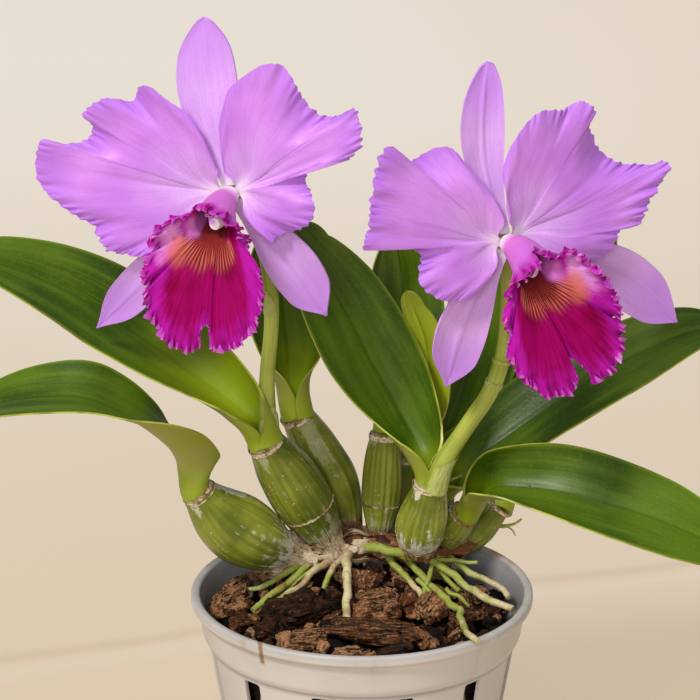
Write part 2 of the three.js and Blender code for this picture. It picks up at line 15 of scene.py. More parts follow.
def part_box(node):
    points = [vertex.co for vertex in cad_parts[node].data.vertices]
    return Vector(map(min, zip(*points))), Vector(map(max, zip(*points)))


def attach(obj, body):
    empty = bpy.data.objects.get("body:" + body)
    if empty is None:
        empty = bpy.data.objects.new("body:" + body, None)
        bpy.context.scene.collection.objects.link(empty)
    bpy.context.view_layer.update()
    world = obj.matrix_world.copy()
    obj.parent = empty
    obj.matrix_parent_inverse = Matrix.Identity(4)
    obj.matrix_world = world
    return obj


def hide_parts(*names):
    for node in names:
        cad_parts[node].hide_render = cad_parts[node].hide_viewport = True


bl_info = {
    "name": "Potted Cattleya Orchid",
    "version": (1, 0, 0),
    "blender": (4, 5, 0),
    "location": "View3D > Sidebar > Orchid",
    "description": "Models a cattleya orchid in flower in its pot, piece by piece",
    "category": "Add Mesh",
}

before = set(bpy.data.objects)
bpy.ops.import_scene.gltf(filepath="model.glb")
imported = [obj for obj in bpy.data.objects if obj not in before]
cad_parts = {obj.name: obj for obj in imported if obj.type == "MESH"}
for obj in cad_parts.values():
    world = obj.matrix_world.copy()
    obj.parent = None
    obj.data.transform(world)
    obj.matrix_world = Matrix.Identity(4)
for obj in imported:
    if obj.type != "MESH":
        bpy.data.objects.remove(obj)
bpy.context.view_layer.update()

MM = 0.001
POT_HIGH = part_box("pot")[1]

# ------------------------------------------------------------------ curves and numbers


def clamp(x):
    return min(1.0, max(0.0, x))


def smooth(x, low=0.0, high=1.0):
    c = clamp((x - low) / (high - low))
    return c * c * (3 - 2 * c)


def between(low, high, share):
    return low + (high - low) * share


def profile(values, s):
    """A smooth run through evenly spaced values, read at s from 0 to 1."""
    last = len(values) - 1
    place = clamp(s) * last
    i = min(last - 1, int(place))
    f = place - i
    a, b, c, d = (values[min(last, max(0, k))] for k in (i - 1, i, i + 1, i + 2))
    return b + 0.5 * f * (c - a + f * (2 * a - 5 * b + 4 * c - d + f * (3 * (b - c) + d - a)))


def wander(*place):
    """Smooth noise from about -1 to 1."""
    return noise.noise(Vector(place))


class Path:
    """A smooth path through points, read by its length."""

    SAMPLES = 200

    def __init__(self, points):
        self.points = [Vector(p) for p in points]
        samples = [self.point(k / self.SAMPLES) for k in range(self.SAMPLES + 1)]
        self.lengths = [0.0]
        for first, second in zip(samples, samples[1:]):
            self.lengths.append(self.lengths[-1] + (second - first).length)

    def point(self, share):
        points = self.points
        last = len(points) - 1
        place = clamp(share) * last
        i = min(last - 1, int(place))
        f = place - i
        b, c = points[i], points[i + 1]
        a = points[i - 1] if i > 0 else 2 * points[0] - points[1]
        d = points[i + 2] if i + 2 <= last else 2 * points[last] - points[last - 1]
        before, here, after = ((q - p).length ** 0.5 for p, q in ((a, b), (b, c), (c, d)))
        leave = ((b - a) / before - (c - a) / (before + here) + (c - b) / here) * here
        arrive = ((c - b) / here - (d - b) / (here + after) + (d - c) / after) * here
        square = 3 * (c - b) - 2 * leave - arrive
        cube = 2 * (b - c) + leave + arrive
        return b + f * (leave + f * (square + f * cube))

    @property
    def length(self):
        return self.lengths[-1]

    def at(self, s):
        target = clamp(s) * self.length
        low, high = 0, self.SAMPLES
        while high - low > 1:
            middle = (low + high) // 2
            if self.lengths[middle] <= target:
                low = middle
            else:
                high = middle
        span = self.lengths[high] - self.lengths[low]
        return self.point((low + (target - self.lengths[low]) / span) / self.SAMPLES)

    def tangent(self, s):
        step = 1e-3
        return (self.at(min(1, s + step)) - self.at(max(0, s - step))).normalized()


class Rod:
    """The skin of a rod round a path: at(s, turn) is a point of it, turn in radians."""

    STATIONS = 120

    def __init__(self, points, radius):
        self.path = Path(points)
        self.radius = radius
        self.stations = []
        tangent = self.path.tangent(0)
        side = Vector((1, 0, 0)) if abs(tangent.z) > 0.9 else Vector((0, 0, 1))
        for k in range(self.STATIONS + 1):
            s = k / self.STATIONS
            tangent = self.path.tangent(s)
            side = (side - side.dot(tangent) * tangent).normalized()
            self.stations.append((self.path.at(s), side, tangent.cross(side), tangent))

    def at(self, s, turn, lift=0.0):
        place = clamp(s) * self.STATIONS
        k = min(self.STATIONS - 1, int(place))
        first, second = self.stations[k], self.stations[k + 1]
        middle, side, other, tangent = (a.lerp(b, place - k) for a, b in zip(first, second))
        middle = middle + tangent * (s - clamp(s)) * self.path.length
        r = self.radius(s, turn) + lift
        return middle + side * (r * math.cos(turn)) + other * (r * math.sin(turn))


# ------------------------------------------------------------------ the plant's shape

RHIZOME = {
    "path": ((-40, 19, 135), (-29, 22, 136), (-17, 27, 137), (-5, 31, 138), (8, 32, 138),
             (20, 30, 138), (32, 31, 137), (47, 38, 135)),
    "girth": 4.6,
    "belly": 0.8,
    "joints": 7,
    "joint_swell": 0.9,
}

# Radii are evenly spaced from a bulb's foot to its top.
BULBS = {
    "pseudobulb_1": {
        "path": ((-31, 21, 138.5), (-48, 14, 148.5), (-64.3, 9, 161.5), (-78, 4, 179)),
        "radii": (5.4, 9.6, 13.6, 15.7, 15.6, 13.4, 10, 6.8)},
    "pseudobulb_2": {
        "path": ((-15, 27, 141), (-26, 23, 162.5), (-37, 18, 183), (-46, 12, 200)),
        "radii": (6, 9.6, 12.2, 13.3, 13.3, 12.3, 10.2, 8)},
    "pseudobulb_3": {
        "path": ((-4, 35, 137), (-6, 45, 145), (-13, 47, 166), (-24, 46, 187), (-32, 42, 203)),
        "radii": (4.4, 5.6, 7.8, 9.7, 10.6, 10.4, 9.9, 8.7, 7.2)},
    "pseudobulb_4": {
        "path": ((8, 38, 141), (9, 40, 160), (10, 41, 177), (11, 42, 193)),
        "radii": (5.4, 6.6, 8.2, 8.8, 8.8, 8.4, 7.6, 6.4)},
    "pseudobulb_5": {
        "path": ((27, 21, 141), (27.5, 17, 154), (30, 15, 166), (32, 13, 177.5)),
        "radii": (6.4, 9.6, 11.2, 11.4, 10.8, 9.6, 8.4, 7.6)},
    "pseudobulb_6": {
        "path": ((38, 34, 138), (41, 33, 144), (45, 31, 150), (49, 28, 157)),
        "radii": (5, 6.6, 7.6, 7.8, 7.6, 7.2, 6.8, 6.6)},
    "pseudobulb_7": {
        "path": ((46, 42, 134), (54, 48, 139), (60, 49, 145), (66, 50, 152)),
        "radii": (4.6, 6.4, 7.4, 7.6, 7.4, 7, 6.4, 5.8)},
    "pseudobulb_8": {
        "path": ((28, 36, 136), (30, 48, 135.5), (34, 57, 141), (36, 58, 148), (37, 58, 154)),
        "radii": (3.6, 3.8, 4, 4.4, 6, 7.6, 8, 7.7, 7)},
    "new_shoot": {
        "path": ((14, 35, 137), (16, 49, 136), (19.5, 56, 146), (21, 58, 162), (22, 58, 177)),
        "radii": (2.8, 2.9, 3, 3.8, 4.4, 4.6, 4.6, 4.4, 4, 3.6)},
}

# Each root's radii at its foot and tip, and how green its foot and tip are.
ROOT_LOOKS = {
    "root_01": (1.6, 0.9, 0.9, 0.2), "root_02": (1.8, 1.5, 0.9, 0.9),
    "root_03": (1.9, 1.2, 0.1, 0.8), "root_04": (1.8, 1.3, 0.3, 0.8),
    "root_05": (2.3, 1.8, 0.0, 0.5), "root_06": (1.9, 1.7, 0.9, 0.0),
    "root_07": (1.8, 1.2, 0.9, 0.2), "root_08": (1.7, 1.5, 0.9, 0.5),
    "root_09": (1.7, 1.4, 0.8, 0.0), "root_10": (1.3, 1.1, 0.9, 0.9),
}

ROOTS = {
    "root_01": ((-33, 15, 134), (-42, 12, 128.5), (-49, 12, 125), (-60, 14, 123.5)),
    "root_02": ((-28, 16, 133), (-36, 9, 128), (-43, 2, 125.5), (-51, -7, 122)),
    "root_03": ((-17, 21, 134), (-25, 12, 130.5), (-33, 4, 127), (-41, -2, 124)),
    "root_04": ((-11, 23, 135), (-15, 15, 131), (-18, 11, 125)),
    "root_05": ((-6, 25, 138), (-7, 8, 136.5), (-7, -8, 132), (-7, -21, 123)),
    "root_06": ((9, 26, 140), (18, 21, 138.5), (33, 21, 135.5), (41, 14, 132), (48, 5, 130),
                (58, -9, 128.5), (70, -18, 127)),
    "root_07": ((14, 24, 134), (21, 13, 130), (27, 3, 127), (29, -7, 123.5)),
    "root_08": ((23, 24, 133), (30, 12, 129), (38, -5, 128), (44, -19, 128), (46, -39, 129),
                (48, -58, 132), (52, -68, 133)),
    "root_09": ((40, 33, 134), (48, 25, 130), (57, 17, 127.5), (66, 10, 126), (69, 3, 124)),
    "root_10": ((32, 27, 133), (39, 19, 128), (46, 13, 123)),
}

ROOT = {"sunk": 3.5, "step": 5, "slack": 1.9}

# Thin rootlets and stubs: a path, and the radii at its foot and tip.
ROOTLETS = (
    (((54, 47, 139), (61, 50, 140.3), (67, 50, 141.2), (72, 50, 141.8), (77, 50, 145)), 1.5, 0.5),
    (((68, 50, 141.2), (72, 49.5, 139.8), (74, 49, 136.5)), 0.8, 0.25),
    (((3, 27, 140), (9, 21.5, 141), (15, 20, 140), (22, 21, 138), (27, 24, 137)), 2.5, 2.2),
    (((34, 20, 134), (31, 10, 131), (30, 2, 128), (28, -9, 125), (26, -14, 120)), 1.3, 0.8),
    (((38, 22, 135), (44, 24, 134), (50, 24, 133), (55, 22, 134)), 1.2, 0.9),
    (((42, -2, 129), (46, -4, 127), (50, -5, 123)), 1.0, 0.8),
    (((-23, 18, 133), (-31, 12, 128), (-36, 9, 124)), 0.9, 0.7),
    (((28, 6, 130), (33, 0, 127), (36, -8, 123)), 1.1, 0.8),
)

# Half widths, curls and folds in degrees are evenly spaced from a leaf's foot to its tip. Each
# leaf's tube is the radius of its rolled foot, tube_top how far up that reaches, opening how
# much of the usual curl it has, and face the way its face looks.
LEAF_WIDTHS = (0.8, 0.8, 0.84, 0.93, 0.98, 0.95, 0.84, 0.58, 0.1)
LEAF_CURLS = (172, 115, 68, 38, 24, 17, 13, 10, 8)
LEAF_FOLDS = (0, 6, 12, 13, 11, 9, 8, 7, 6)
LEAF = {"keel": 0.1, "roll": 188, "tip": 0.9, "columns": 26, "rows": 100, "thickness": 2.6}

LEAVES = {
    "leaf_1": {
        "tube": 6, "tube_top": 9, "opening": 0.7, "half_width": 22,
        "face": (0.1, -0.22, 1), "foot_face": (0.4, 0.6, 1),
        "path": ((-76.5, 4.5, 176), (-79.5, 2, 185), (-83, -2, 194.5), (-89.5, -7, 205),
                 (-98.5, -11, 214.5), (-110, -15, 223), (-124, -19, 231), (-140, -21, 233),
                 (-164, -22, 230), (-192, -20, 219))},
    "leaf_2": {
        "fresh": True, "tube": 7.2, "tube_top": 9, "opening": 0.9, "half_width": 23,
        "face": (-0.35, -0.62, 1),
        "path": ((-44.5, 11, 197), (-48, 13, 205), (-56.5, 17, 213), (-66, 20, 220),
                 (-86, 24, 234), (-110, 26, 251), (-135, 26, 267), (-166, 22, 282),
                 (-191, 17, 291))},
    "leaf_3": {
        "fresh": True, "tube": 6.6, "tube_top": 18, "half_width": 19, "face": (0.2, -1, 0.25),
        "path": ((-30.5, 41.5, 199), (-33, 45.5, 211), (-34.5, 51, 223), (-36, 56, 238),
                 (-38, 58, 256), (-40, 58, 275), (-43, 54, 295))},
    "leaf_4": {
        "tube": 4.8, "tube_top": 10, "half_width": 23, "face": (0.25, -1, 0.45),
        "path": ((31.5, 13.5, 174), (30, 16.5, 184), (25.5, 23, 194), (16, 31, 210), (3, 38, 232),
                 (-9, 42, 255), (-22, 42, 278), (-32, 39, 296))},
    "leaf_5": {
        "tube": 5.2, "tube_top": 14, "half_width": 20, "face": (0.2, -1, 0.2),
        "path": ((11, 42, 189), (12, 47, 198), (15.5, 61, 210), (19, 77, 227), (20, 86, 249),
                 (18, 86, 266), (15, 82, 284))},
    "leaf_6": {
        "tube": 4.9, "tube_top": 17, "half_width": 22, "face": (0.1, -0.85, 1),
        "path": ((48, 29, 154), (52.5, 25.5, 163), (57.5, 21, 170), (65, 16, 174.5),
                 (76, 12, 176), (93, 6, 176), (117, 0, 171.5), (137, -4, 166), (157, -7, 158),
                 (181, -10, 146))},
    "leaf_7": {
        "tube": 4.8, "tube_top": 10, "opening": 0.35, "half_width": 22, "face": (-0.2, -0.75, 1),
        "path": ((37, 57, 151), (41, 60, 159.5), (49, 62.5, 167.5), (64, 65, 177), (93, 67, 198),
                 (122, 64, 218), (151, 58, 235), (177, 51, 244))},
    "leaf_8": {
        "tube": 4.8, "tube_top": 10, "opening": 0.35, "half_width": 21, "face": (-0.1, -1, 0.3),
        "path": ((37, 59, 151), (38.5, 66, 162), (43, 77, 178), (51, 88, 199), (57, 95, 222),
                 (60, 97, 247), (58, 93, 268))},
    "leaf_9": {
        "tube": 5.4, "tube_top": 14, "half_width": 18, "face": (-0.3, -1, 0.35),
        "path": ((65.5, 50, 149), (69, 57.5, 157), (76, 73, 167), (87, 93, 186), (98, 103, 211),
                 (110, 106, 244), (119, 101, 277))},
    "young_leaf": {
        "tube": 3.3, "tube_top": 14, "half_width": 11, "face": (-0.2, -1, 0.2),
        "path": ((22, 58, 174), (24, 55, 182), (28, 49, 192), (32, 43, 212), (30, 42, 238),
                 (21, 44, 262))},
}

# A bloom's own frame has x to the right, y up and z out of its face. A petal's outline
# gives the angle and radius of points of its margin, and how far each bends forward.
# The knob ends the stalk, and the ring is where the blades leave it.
KNOB = {"radius": 3.3, "foot": -2.0, "top": 4.8}
RING = {"sepal": 0.7, "petal": 2.5, "radius": 3.9}

BLOOMS = {
    "bloom_1": {
        "centre": (-58.5, -12, 326), "yaw": -12, "pitch": 4,
        "petals": {
            "left": {
                "axis": 174,
                "outline": ((114, 22, 0), (114, 30, 1), (115, 37, 2), (117, 42, 3), (121, 48, 4),
                            (124, 54, 4), (126, 59, 3), (129, 62, 1), (133, 62, -3), (136, 60, -5),
                            (139, 61, -3), (142, 68, 2), (146, 72, 4), (151, 74, 3), (154, 74, 0),
                            (156, 70, -5), (161, 69, -8), (164, 72, -6), (166, 79, -1),
                            (166, 88, 4), (169, 89, 4), (178, 88, 2), (183, 82, 3), (190, 72, 1),
                            (196, 65, -2), (200, 64, 1), (206, 62, 3), (210, 58, -1),
                            (214, 53, 2), (218, 48, 3), (224, 37, 2), (229, 27, 1)),
                "frill": (0.05, 0.1, 0.5, 0.8, 0.6, 0.5, 1, 1, 0.9)},
            "right": {
                "axis": 26,
                "outline": ((-47, 18, 0), (-44, 28, 2), (-38, 28, 0), (-29, 31, -3), (-22, 35, 0),
                            (-13, 39, 3), (-3, 40, 4), (4, 38.5, 2), (11, 35.6, -4), (18, 36, -7),
                            (19, 40, -6), (20, 44, -3), (23, 48, 0), (21, 52, -3), (20, 57, 0),
                            (22, 62, 2), (24, 66, 3), (28, 68, 3), (35, 71, 1), (37, 70, -2),
                            (38, 63, -6), (40, 58, -8), (44, 55, -7), (48, 55, -5), (53, 56, -3),
                            (58, 59, 1), (62, 62, 3), (67, 65, 2), (71, 65, 4), (76, 62, 3),
                            (80, 58, 3), (85, 53, 4), (89, 49, 4), (92, 42, 3), (96, 34, 2),
                            (98, 27, 1), (98, 19, 0)),
                "frill": (0.3, 0.6, 0.8, 1, 1, 0.9, 0.6, 0.2, 0.05, 0)},
        },
        "sepals": {
            "dorsal": {"angle": 101, "length": 75, "half_width": 14,
                       "bow": 2.5, "lean": 7, "point": 0.5},
            "left": {"angle": 226.5, "length": 91, "half_width": 9.5, "bow": 0, "lean": 9, "point": 1.1},
            "right": {"angle": 307, "length": 66, "half_width": 12, "bow": 3, "lean": 9, "point": 1.0},
        },
        "lip": {
            "hand": -1.0, "column_tip": (-0.4, -7.5, 29.5),
            "tube": ((0, 0, 4.4), (-1.6, -3.4, 15), (-0.8, -7.4, 27)),
            "left": ((-4, -0.4, 33), (-6.5, -0.7, 34), (-9.9, -2, 33), (-12.3, -4.3, 34),
                     (-17.2, -4.8, 36), (-23.4, -8.3, 35), (-27.5, -13.1, 34), (-28.7, -17.7, 33),
                     (-27.3, -21.2, 29), (-29.9, -23.4, 32), (-31.2, -28.5, 34), (-31.1, -34.1, 35),
                     (-30, -38.2, 31), (-31.2, -39.8, 34), (-30.5, -45.3, 34), (-28, -51.7, 35),
                     (-23.1, -58, 36), (-18.8, -62.5, 35), (-14.5, -64.3, 34), (-9.7, -64.9, 33),
                     (-6.1, -63.1, 33), (-6.4, -58.8, 34), (-4.9, -54.5, 36), (-2.6, -52, 36)),
            "right": ((-2.6, -52, 36), (-0.8, -54.3, 35), (-0.2, -57.9, 37), (0.8, -62.6, 34),
                      (5.8, -63.2, 33), (12.4, -60.4, 34), (16.9, -56.2, 34), (20.2, -50.9, 34),
                      (21.8, -44.9, 34), (22.8, -37.2, 34), (22.1, -29.5, 34), (19.8, -22.9, 34),
                      (17.1, -19, 34), (15.7, -15.7, 33), (15.4, -12.4, 34), (13.7, -10.9, 37),
                      (13.5, -7.3, 39), (10.1, -4, 41), (5.7, -1.7, 41), (1.6, -1.2, 39),
                      (-1.9, -0.7, 36), (-3.8, -0.1, 34))},
    },
    "bloom_2": {
        "centre": (64, -10, 303), "yaw": 20, "pitch": 4,
        "petals": {
            "left": {
                "axis": 170,
                "outline": ((107, 20, 0), (110, 27, 0), (115, 35, -1), (117, 42, -2),
                            (118, 48, -4), (120, 53, -5), (125, 56, -6), (130, 58, -7),
                            (135, 59, -8), (139, 61, -7), (139, 66, -2), (138, 72, 3),
                            (139, 78, 6), (143, 78, 6), (147, 76, 4), (153, 74, 4), (158, 72, 2),
                            (165, 70, 3), (171, 69.5, 1), (174, 71.5, 3), (176, 70, 2),
                            (174, 65, 0), (176, 58, -2), (175, 51, -3), (174, 47, -5),
                            (178, 43, -6), (184, 41.5, -4), (190, 44, 0), (197, 45.5, 3),
                            (204, 43.5, 2), (212, 40.5, 3), (220, 36, 1), (227, 31, 2),
                            (232, 27, 1), (232, 18, 0)),
                "frill": (0.05, 0.2, 0.5, 0.9, 1, 0.9, 0.8, 0.6, 0.3)},
            "right": {
                "axis": 34,
                "outline": ((-18, 20, 0), (-15, 30, 0), (-15, 40, 2), (-15, 44, 1), (-12, 48, -1),
                            (-7, 50.5, 2), (-3, 52, 3), (1, 54, 0), (2, 60, 2), (4, 65, 0),
                            (8, 67, 3), (11, 70, 1), (14, 73, 3), (16, 77, 1), (18, 80, 3),
                            (20, 83, 2), (22, 82, 0), (22, 78, -3), (24, 72, -6), (28, 65, -8),
                            (34, 61, -8), (42, 60, -7), (47, 62, -4), (50, 62.5, -2), (53, 65, 0),
                            (54, 70, 3), (58, 72, 4), (62, 70, 1), (64, 66.5, -2), (67, 64, 1),
                            (72, 63, 3), (77, 61, 3), (81, 57, 3), (86, 51, 4), (90, 46, 4),
                            (93, 41, 3), (96, 34, 2), (95, 27, 1), (91, 18, 0)),
                "frill": (0.1, 0.5, 0.8, 0.9, 1, 0.6, 0.6, 0.5, 0.1, 0)},
        },
        "sepals": {
            "dorsal": {"angle": 93, "length": 77, "half_width": 10.5,
                       "bow": 7, "lean": 7, "point": 0.34},
            "left": {"angle": 249, "length": 68, "half_width": 12.5, "bow": -5, "lean": 9, "point": 1.0},
            "right": {"angle": 331, "length": 98, "half_width": 13, "bow": 8, "lean": 8, "point": 0.9},
        },
        "lip": {
            "hand": 1.0, "column_tip": (2, -8, 28.5),
            "tube": ((0, 0, 4.4), (1.6, -1.8, 15), (2.6, -6.8, 27)),
            "left": ((-0.3, 2.2, 33), (0.5, -0.4, 38), (-0.2, -4, 40), (-4.7, -6, 40),
                     (-7.2, -8.6, 38), (-10.8, -12.6, 35), (-13.6, -16.3, 33), (-8.6, -20.8, 30),
                     (-13.5, -22.5, 32), (-15.3, -26.9, 34), (-12.5, -32.2, 34), (-10.6, -35.4, 31),
                     (-12.2, -38.4, 33), (-13.2, -43, 34), (-10.8, -47.7, 35), (-7.5, -53.6, 35),
                     (-1.8, -59, 34), (3.4, -62.4, 33), (7.2, -64.1, 33), (12.1, -64.1, 33),
                     (17.5, -62.4, 34), (20, -58.8, 35), (19, -54.6, 36), (17.6, -51.6, 35),
                     (16.6, -49.6, 34), (16.4, -47.6, 33)),
            "right": ((16.4, -47.6, 33), (18.6, -48.4, 34), (21.5, -51.3, 34), (24.6, -54.4, 35),
                      (26.6, -58.2, 35), (28.3, -59.8, 35), (33.2, -57.5, 35), (38.1, -53.4, 35),
                      (41, -48.2, 35), (43, -41, 35), (42.8, -35.7, 34), (40.2, -33.6, 31),
                      (42, -30.8, 33), (40.4, -26.2, 34), (39.6, -22, 34), (36.3, -16.1, 34),
                      (33.4, -11.9, 35), (30, -7.4, 35), (27.6, -5.5, 34), (23.7, -1.5, 34),
                      (19.9, 1, 34), (15.1, 1.5, 34), (12.6, -0.3, 33), (10.7, -2.1, 32),
                      (7.4, -1.1, 33), (4.5, 0.6, 33), (1.6, 1.8, 33), (-0.3, 2.3, 33))},
    },
}

PETAL = {"claw": 0.62, "dish": 5.0, "columns": 400, "rows": 32, "thickness": 0.6}
SEPAL = {"set_back": 1.5, "cup": 0.16, "columns": 26, "rows": 80, "thickness": 0.9}
SEPAL_WIDTHS = (0.24, 0.38, 0.58, 0.79, 0.94, 1, 0.94, 0.78, 0.55)
TUBE_RADII = (4.2, 5.8, 7.2, 8.4, 9.4)

# A lip's mouth is the share of its rows that its tube takes, and its reaches are how far in
# from its margin its rim, hem and lace begin and fade out.
LIP = {
    "mouth": 0.24, "columns": 620, "rows": 46, "thickness": 0.5,
    "reaches": ((1, 12), (0.5, 5), (0.3, 2.6)),
}
MARGIN_CROWDING = 1.6
COLUMN_RADII = (2.6, 2.6, 2.7, 3.2, 3.9, 4.2, 2.6)

STALKS = {
    "flower_stalk_1": {
        "bloom": "bloom_1",
        "path": ((-42.5, 9.5, 197), (-44, 12, 212), (-44, 15, 231), (-42, 17, 253),
                 (-42, 16, 273), (-45, 12, 294), (-51, 8, 312)),
        "radii": (4.6, 4.2, 3.6, 3.4, 3.4, 3.4, 3.4, 3.6)},
    "flower_stalk_2": {
        "bloom": "bloom_2",
        "path": ((33, 11, 174), (37.5, 9, 189), (48.5, 6, 209), (58.5, 4, 226), (64, 4, 242),
                 (66, 5, 257), (66.5, 7, 272), (65.5, 7, 288)),
        "radii": (5.8, 4.6, 4, 3.9, 3.9, 3.8, 3.6, 3.6)},
}
OVARY = {"start": -12, "radius": 4.6}

# Depths are from the rim down, and radii are outer ones.
POT = {
    "lip_depth": 5, "collar_top": 76.5, "collar_foot": 74.5, "collar_depth": 22,
    "body_top": 71.8, "base_radius": 54, "shoulder": 2, "wall": 2, "floor": 3.5,
}
SLOT = {"top": 105, "foot": 24, "reach": 68, "depth": 44, "corner": 1.6}
BARK = {
    "edge_depth": 14, "heap_rise": 12, "heap_radius": 72, "heap_centre": 16, "bed_gap": 2.6,
    "bed_sunk": 9, "under_sunk": 6, "crowding": 0.72, "levels": 8,
}

# Big chips on top of the heap: place, half length, half width, half height and turn.
BIG_CHIPS = (
    ((5, -31, 121.5), 20.5, 7.5, 4.2, -4), ((7, -11, 125), 11, 8, 5.5, 20),
    ((-30, -9, 123), 14.5, 11, 7.5, 30), ((-61, 6, 121), 10.5, 8, 6, 60),
    ((-57, -15, 119), 4.4, 4.2, 4.2, 0), ((-25, -33, 118), 9.5, 5.5, 3.4, 8),
    ((15, -45, 117), 7, 5, 3.4, 15), ((32, -8, 123), 9.5, 7.5, 5, 70),
    ((46, -13, 120), 6.5, 5.5, 4, 30), ((-2, 12, 127), 5, 8, 6, 80),
    ((-43, -25, 119), 6.5, 6, 4.6, 20), ((55, 17, 120), 6, 4.6, 3.4, 40),
    ((61, 2, 120), 4, 3.8, 3.6, 10), ((-58, 25, 121), 7, 5.5, 4.4, 70),
)
BIG_CHIP_TONES = (0.45, 0.62, 0.3, 0.7)

# Drawn chips: the range of a chip's half length, and of its width and height as shares of it.
# Most loose chips are small. Those behind the slots stand on edge, a gap within the wall.
LOOSE_CHIPS = {
    "half": (2.8, 7.5), "smallness": 1.6, "width": (0.55, 0.9), "height": (0.4, 0.75),
    "tilt": 0.5, "stray": 1.6,
}
SLOT_CHIPS = {
    "half": (4, 6.5), "thickness": 0.7, "width": 1.2, "height": (0.6, 1), "tone": (0.6, 1.3),
    "inset": 0.85, "gap": 0.8, "stray": 0.05,
}


@lru_cache(maxsize=None)
def bloom_matrix(name):
    """The bloom's own frame in the part's, both in millimetres."""
    bloom = BLOOMS[name]
    yaw, pitch = math.radians(bloom["yaw"]), math.radians(bloom["pitch"])
    out = Vector((math.sin(yaw) * math.cos(pitch), -math.cos(yaw) * math.cos(pitch), math.sin(pitch)))
    right = Vector((math.cos(yaw), math.sin(yaw), 0))
    turned = Matrix((right, out.cross(right), out)).transposed().to_4x4()
    return Matrix.Translation(bloom["centre"]) @ turned


def bulb_rod(name):
    radii = BULBS[name]["radii"]
    seed = len(name) + sum(radii)
    ribs = 9 + int(radii[3])

    def radius(s, turn):
        body = profile(radii, s)
        bulk = math.sin(math.pi * clamp(s))
        rib = 0.38 * bulk * math.cos(ribs * turn + 2.2 * wander(seed, 2 * s, math.cos(turn)))
        dents = 0.3 * bulk + 0.5 * bulk * wander(seed + 4 * s, 2 * math.cos(turn), 2 * math.sin(turn))
        return body + rib + dents

    return Rod(BULBS[name]["path"], radius)


def rhizome_rod():
    def radius(s, turn):
        swell = RHIZOME["joint_swell"] * math.cos(2 * math.pi * RHIZOME["joints"] * s)
        rough = 0.5 * wander(22 * s, 1.5 * math.cos(turn), 1.5 * math.sin(turn))
        return RHIZOME["girth"] + RHIZOME["belly"] * math.sin(math.pi * clamp(s)) + swell + rough

    return Rod(RHIZOME["path"], radius)


def stalk_rod(name):
    stalk = STALKS[name]
    matrix = bloom_matrix(stalk["bloom"])
    knob = [matrix @ Vector((0, 0, z)) for z in (OVARY["start"], KNOB["foot"], KNOB["top"])]
    radii = (*stalk["radii"], OVARY["radius"], KNOB["radius"])

    def radius(s, turn):
        furrow = 0.12 * math.cos(3 * turn + 2 * s)
        return profile(radii, s) + furrow + 0.1 * wander(9 * s, math.cos(turn), math.sin(turn))

    return Rod([*stalk["path"], *knob], radius)


def root_rod(points, foot, tip, seed):
    """A wandering root that starts inside the stem it grows from."""
    first, second = Vector(points[0]), Vector(points[1])
    path = Path([first + (first - second).normalized() * ROOT["sunk"], *points])
    count = max(4, round(path.length / ROOT["step"]))
    bends = []
    for k in range(count + 1):
        slack = ROOT["slack"] * math.sin(math.pi * k / count)
        stray = Vector([wander(seed, 0.6 * k, axis) for axis in range(3)])
        bends.append(path.at(k / count) + slack * stray)

    def radius(s, turn):
        lumps = 0.26 * wander(seed, 14 * s, 0.8 * math.cos(turn)) + 0.16 * wander(seed, 40 * s, turn)
        return between(foot, tip, s) * (1 + lumps)

    return Rod(bends, radius)


# ------------------------------------------------------------------ modelling


def deselect():
    bpy.ops.object.select_all(action="DESELECT")


def select_only(piece):
    deselect()
    piece.select_set(True)
    bpy.context.view_layer.objects.active = piece


def lay_grid(name, columns, rows, place):
    """A grid with each point moved to place(s, t): s runs 0 to 1 along it, t -1 to 1 across."""
    deselect()
    bpy.ops.mesh.primitive_grid_add(x_subdivisions=columns, y_subdivisions=rows, size=2)
    piece = bpy.context.object
    piece.name = name
    piece.data.name = name
    for vertex in piece.data.vertices:
        vertex.co = place((vertex.co.y + 1) / 2, vertex.co.x) * MM
    return piece


def edit_all(piece, *steps):
    """Runs edit-mode operators on the whole mesh, each given as (operator, settings)."""
    select_only(piece)
    bpy.ops.object.mode_set(mode="EDIT")
    bpy.ops.mesh.select_all(action="SELECT")
    for operator, settings in steps:
        operator(**settings)
    bpy.ops.object.mode_set(mode="OBJECT")


def close_skin(piece):
    """Welds the seam and poles of a rolled grid and turns its faces outwards."""
    edit_all(piece, (bpy.ops.mesh.remove_doubles, {"threshold": 2e-6}),
             (bpy.ops.mesh.normals_make_consistent, {"inside": False}))


def apply_modifier(piece, kind, **settings):
    select_only(piece)
    modifier = piece.modifiers.new(kind.title(), kind)
    for key, value in settings.items():
        setattr(modifier, key, value)
    bpy.ops.object.modifier_apply(modifier=modifier.name)


def thicken(piece, thickness, back=0, rim=0, weight=None):
    """Gives a blade its thickness. The grid is its front, back and rim are the slots of their
    finishes, and weight(index) is the share of the thickness that a point gets."""
    settings = {"thickness": thickness * MM, "offset": 0.0, "material_offset": back,
                "material_offset_rim": rim, "use_quality_normals": True}
    if weight:
        group = piece.vertex_groups.new(name="thickness")
        for vertex in piece.data.vertices:
            group.add([vertex.index], weight(vertex.index), "REPLACE")
        settings["vertex_group"] = group.name
    apply_modifier(piece, "SOLIDIFY", **settings)


def mark(piece, name, values):
    """Stores a number for each point, which a finish can read."""
    piece.data.attributes.new(name, "FLOAT", "POINT").data.foreach_set("value", values)


def lay_blade(name, shape, place, *finishes, back=0, **marks):
    """A thick blade with its face forward: shape holds its columns, rows and thickness."""
    blade = lay_grid(name, shape["columns"], shape["rows"], place)
    for key, values in marks.items():
        mark(blade, key, values)
    edit_all(blade, (bpy.ops.mesh.flip_normals, {}))
    coat(blade, *finishes)
    thicken(blade, shape["thickness"], back)
    return blade


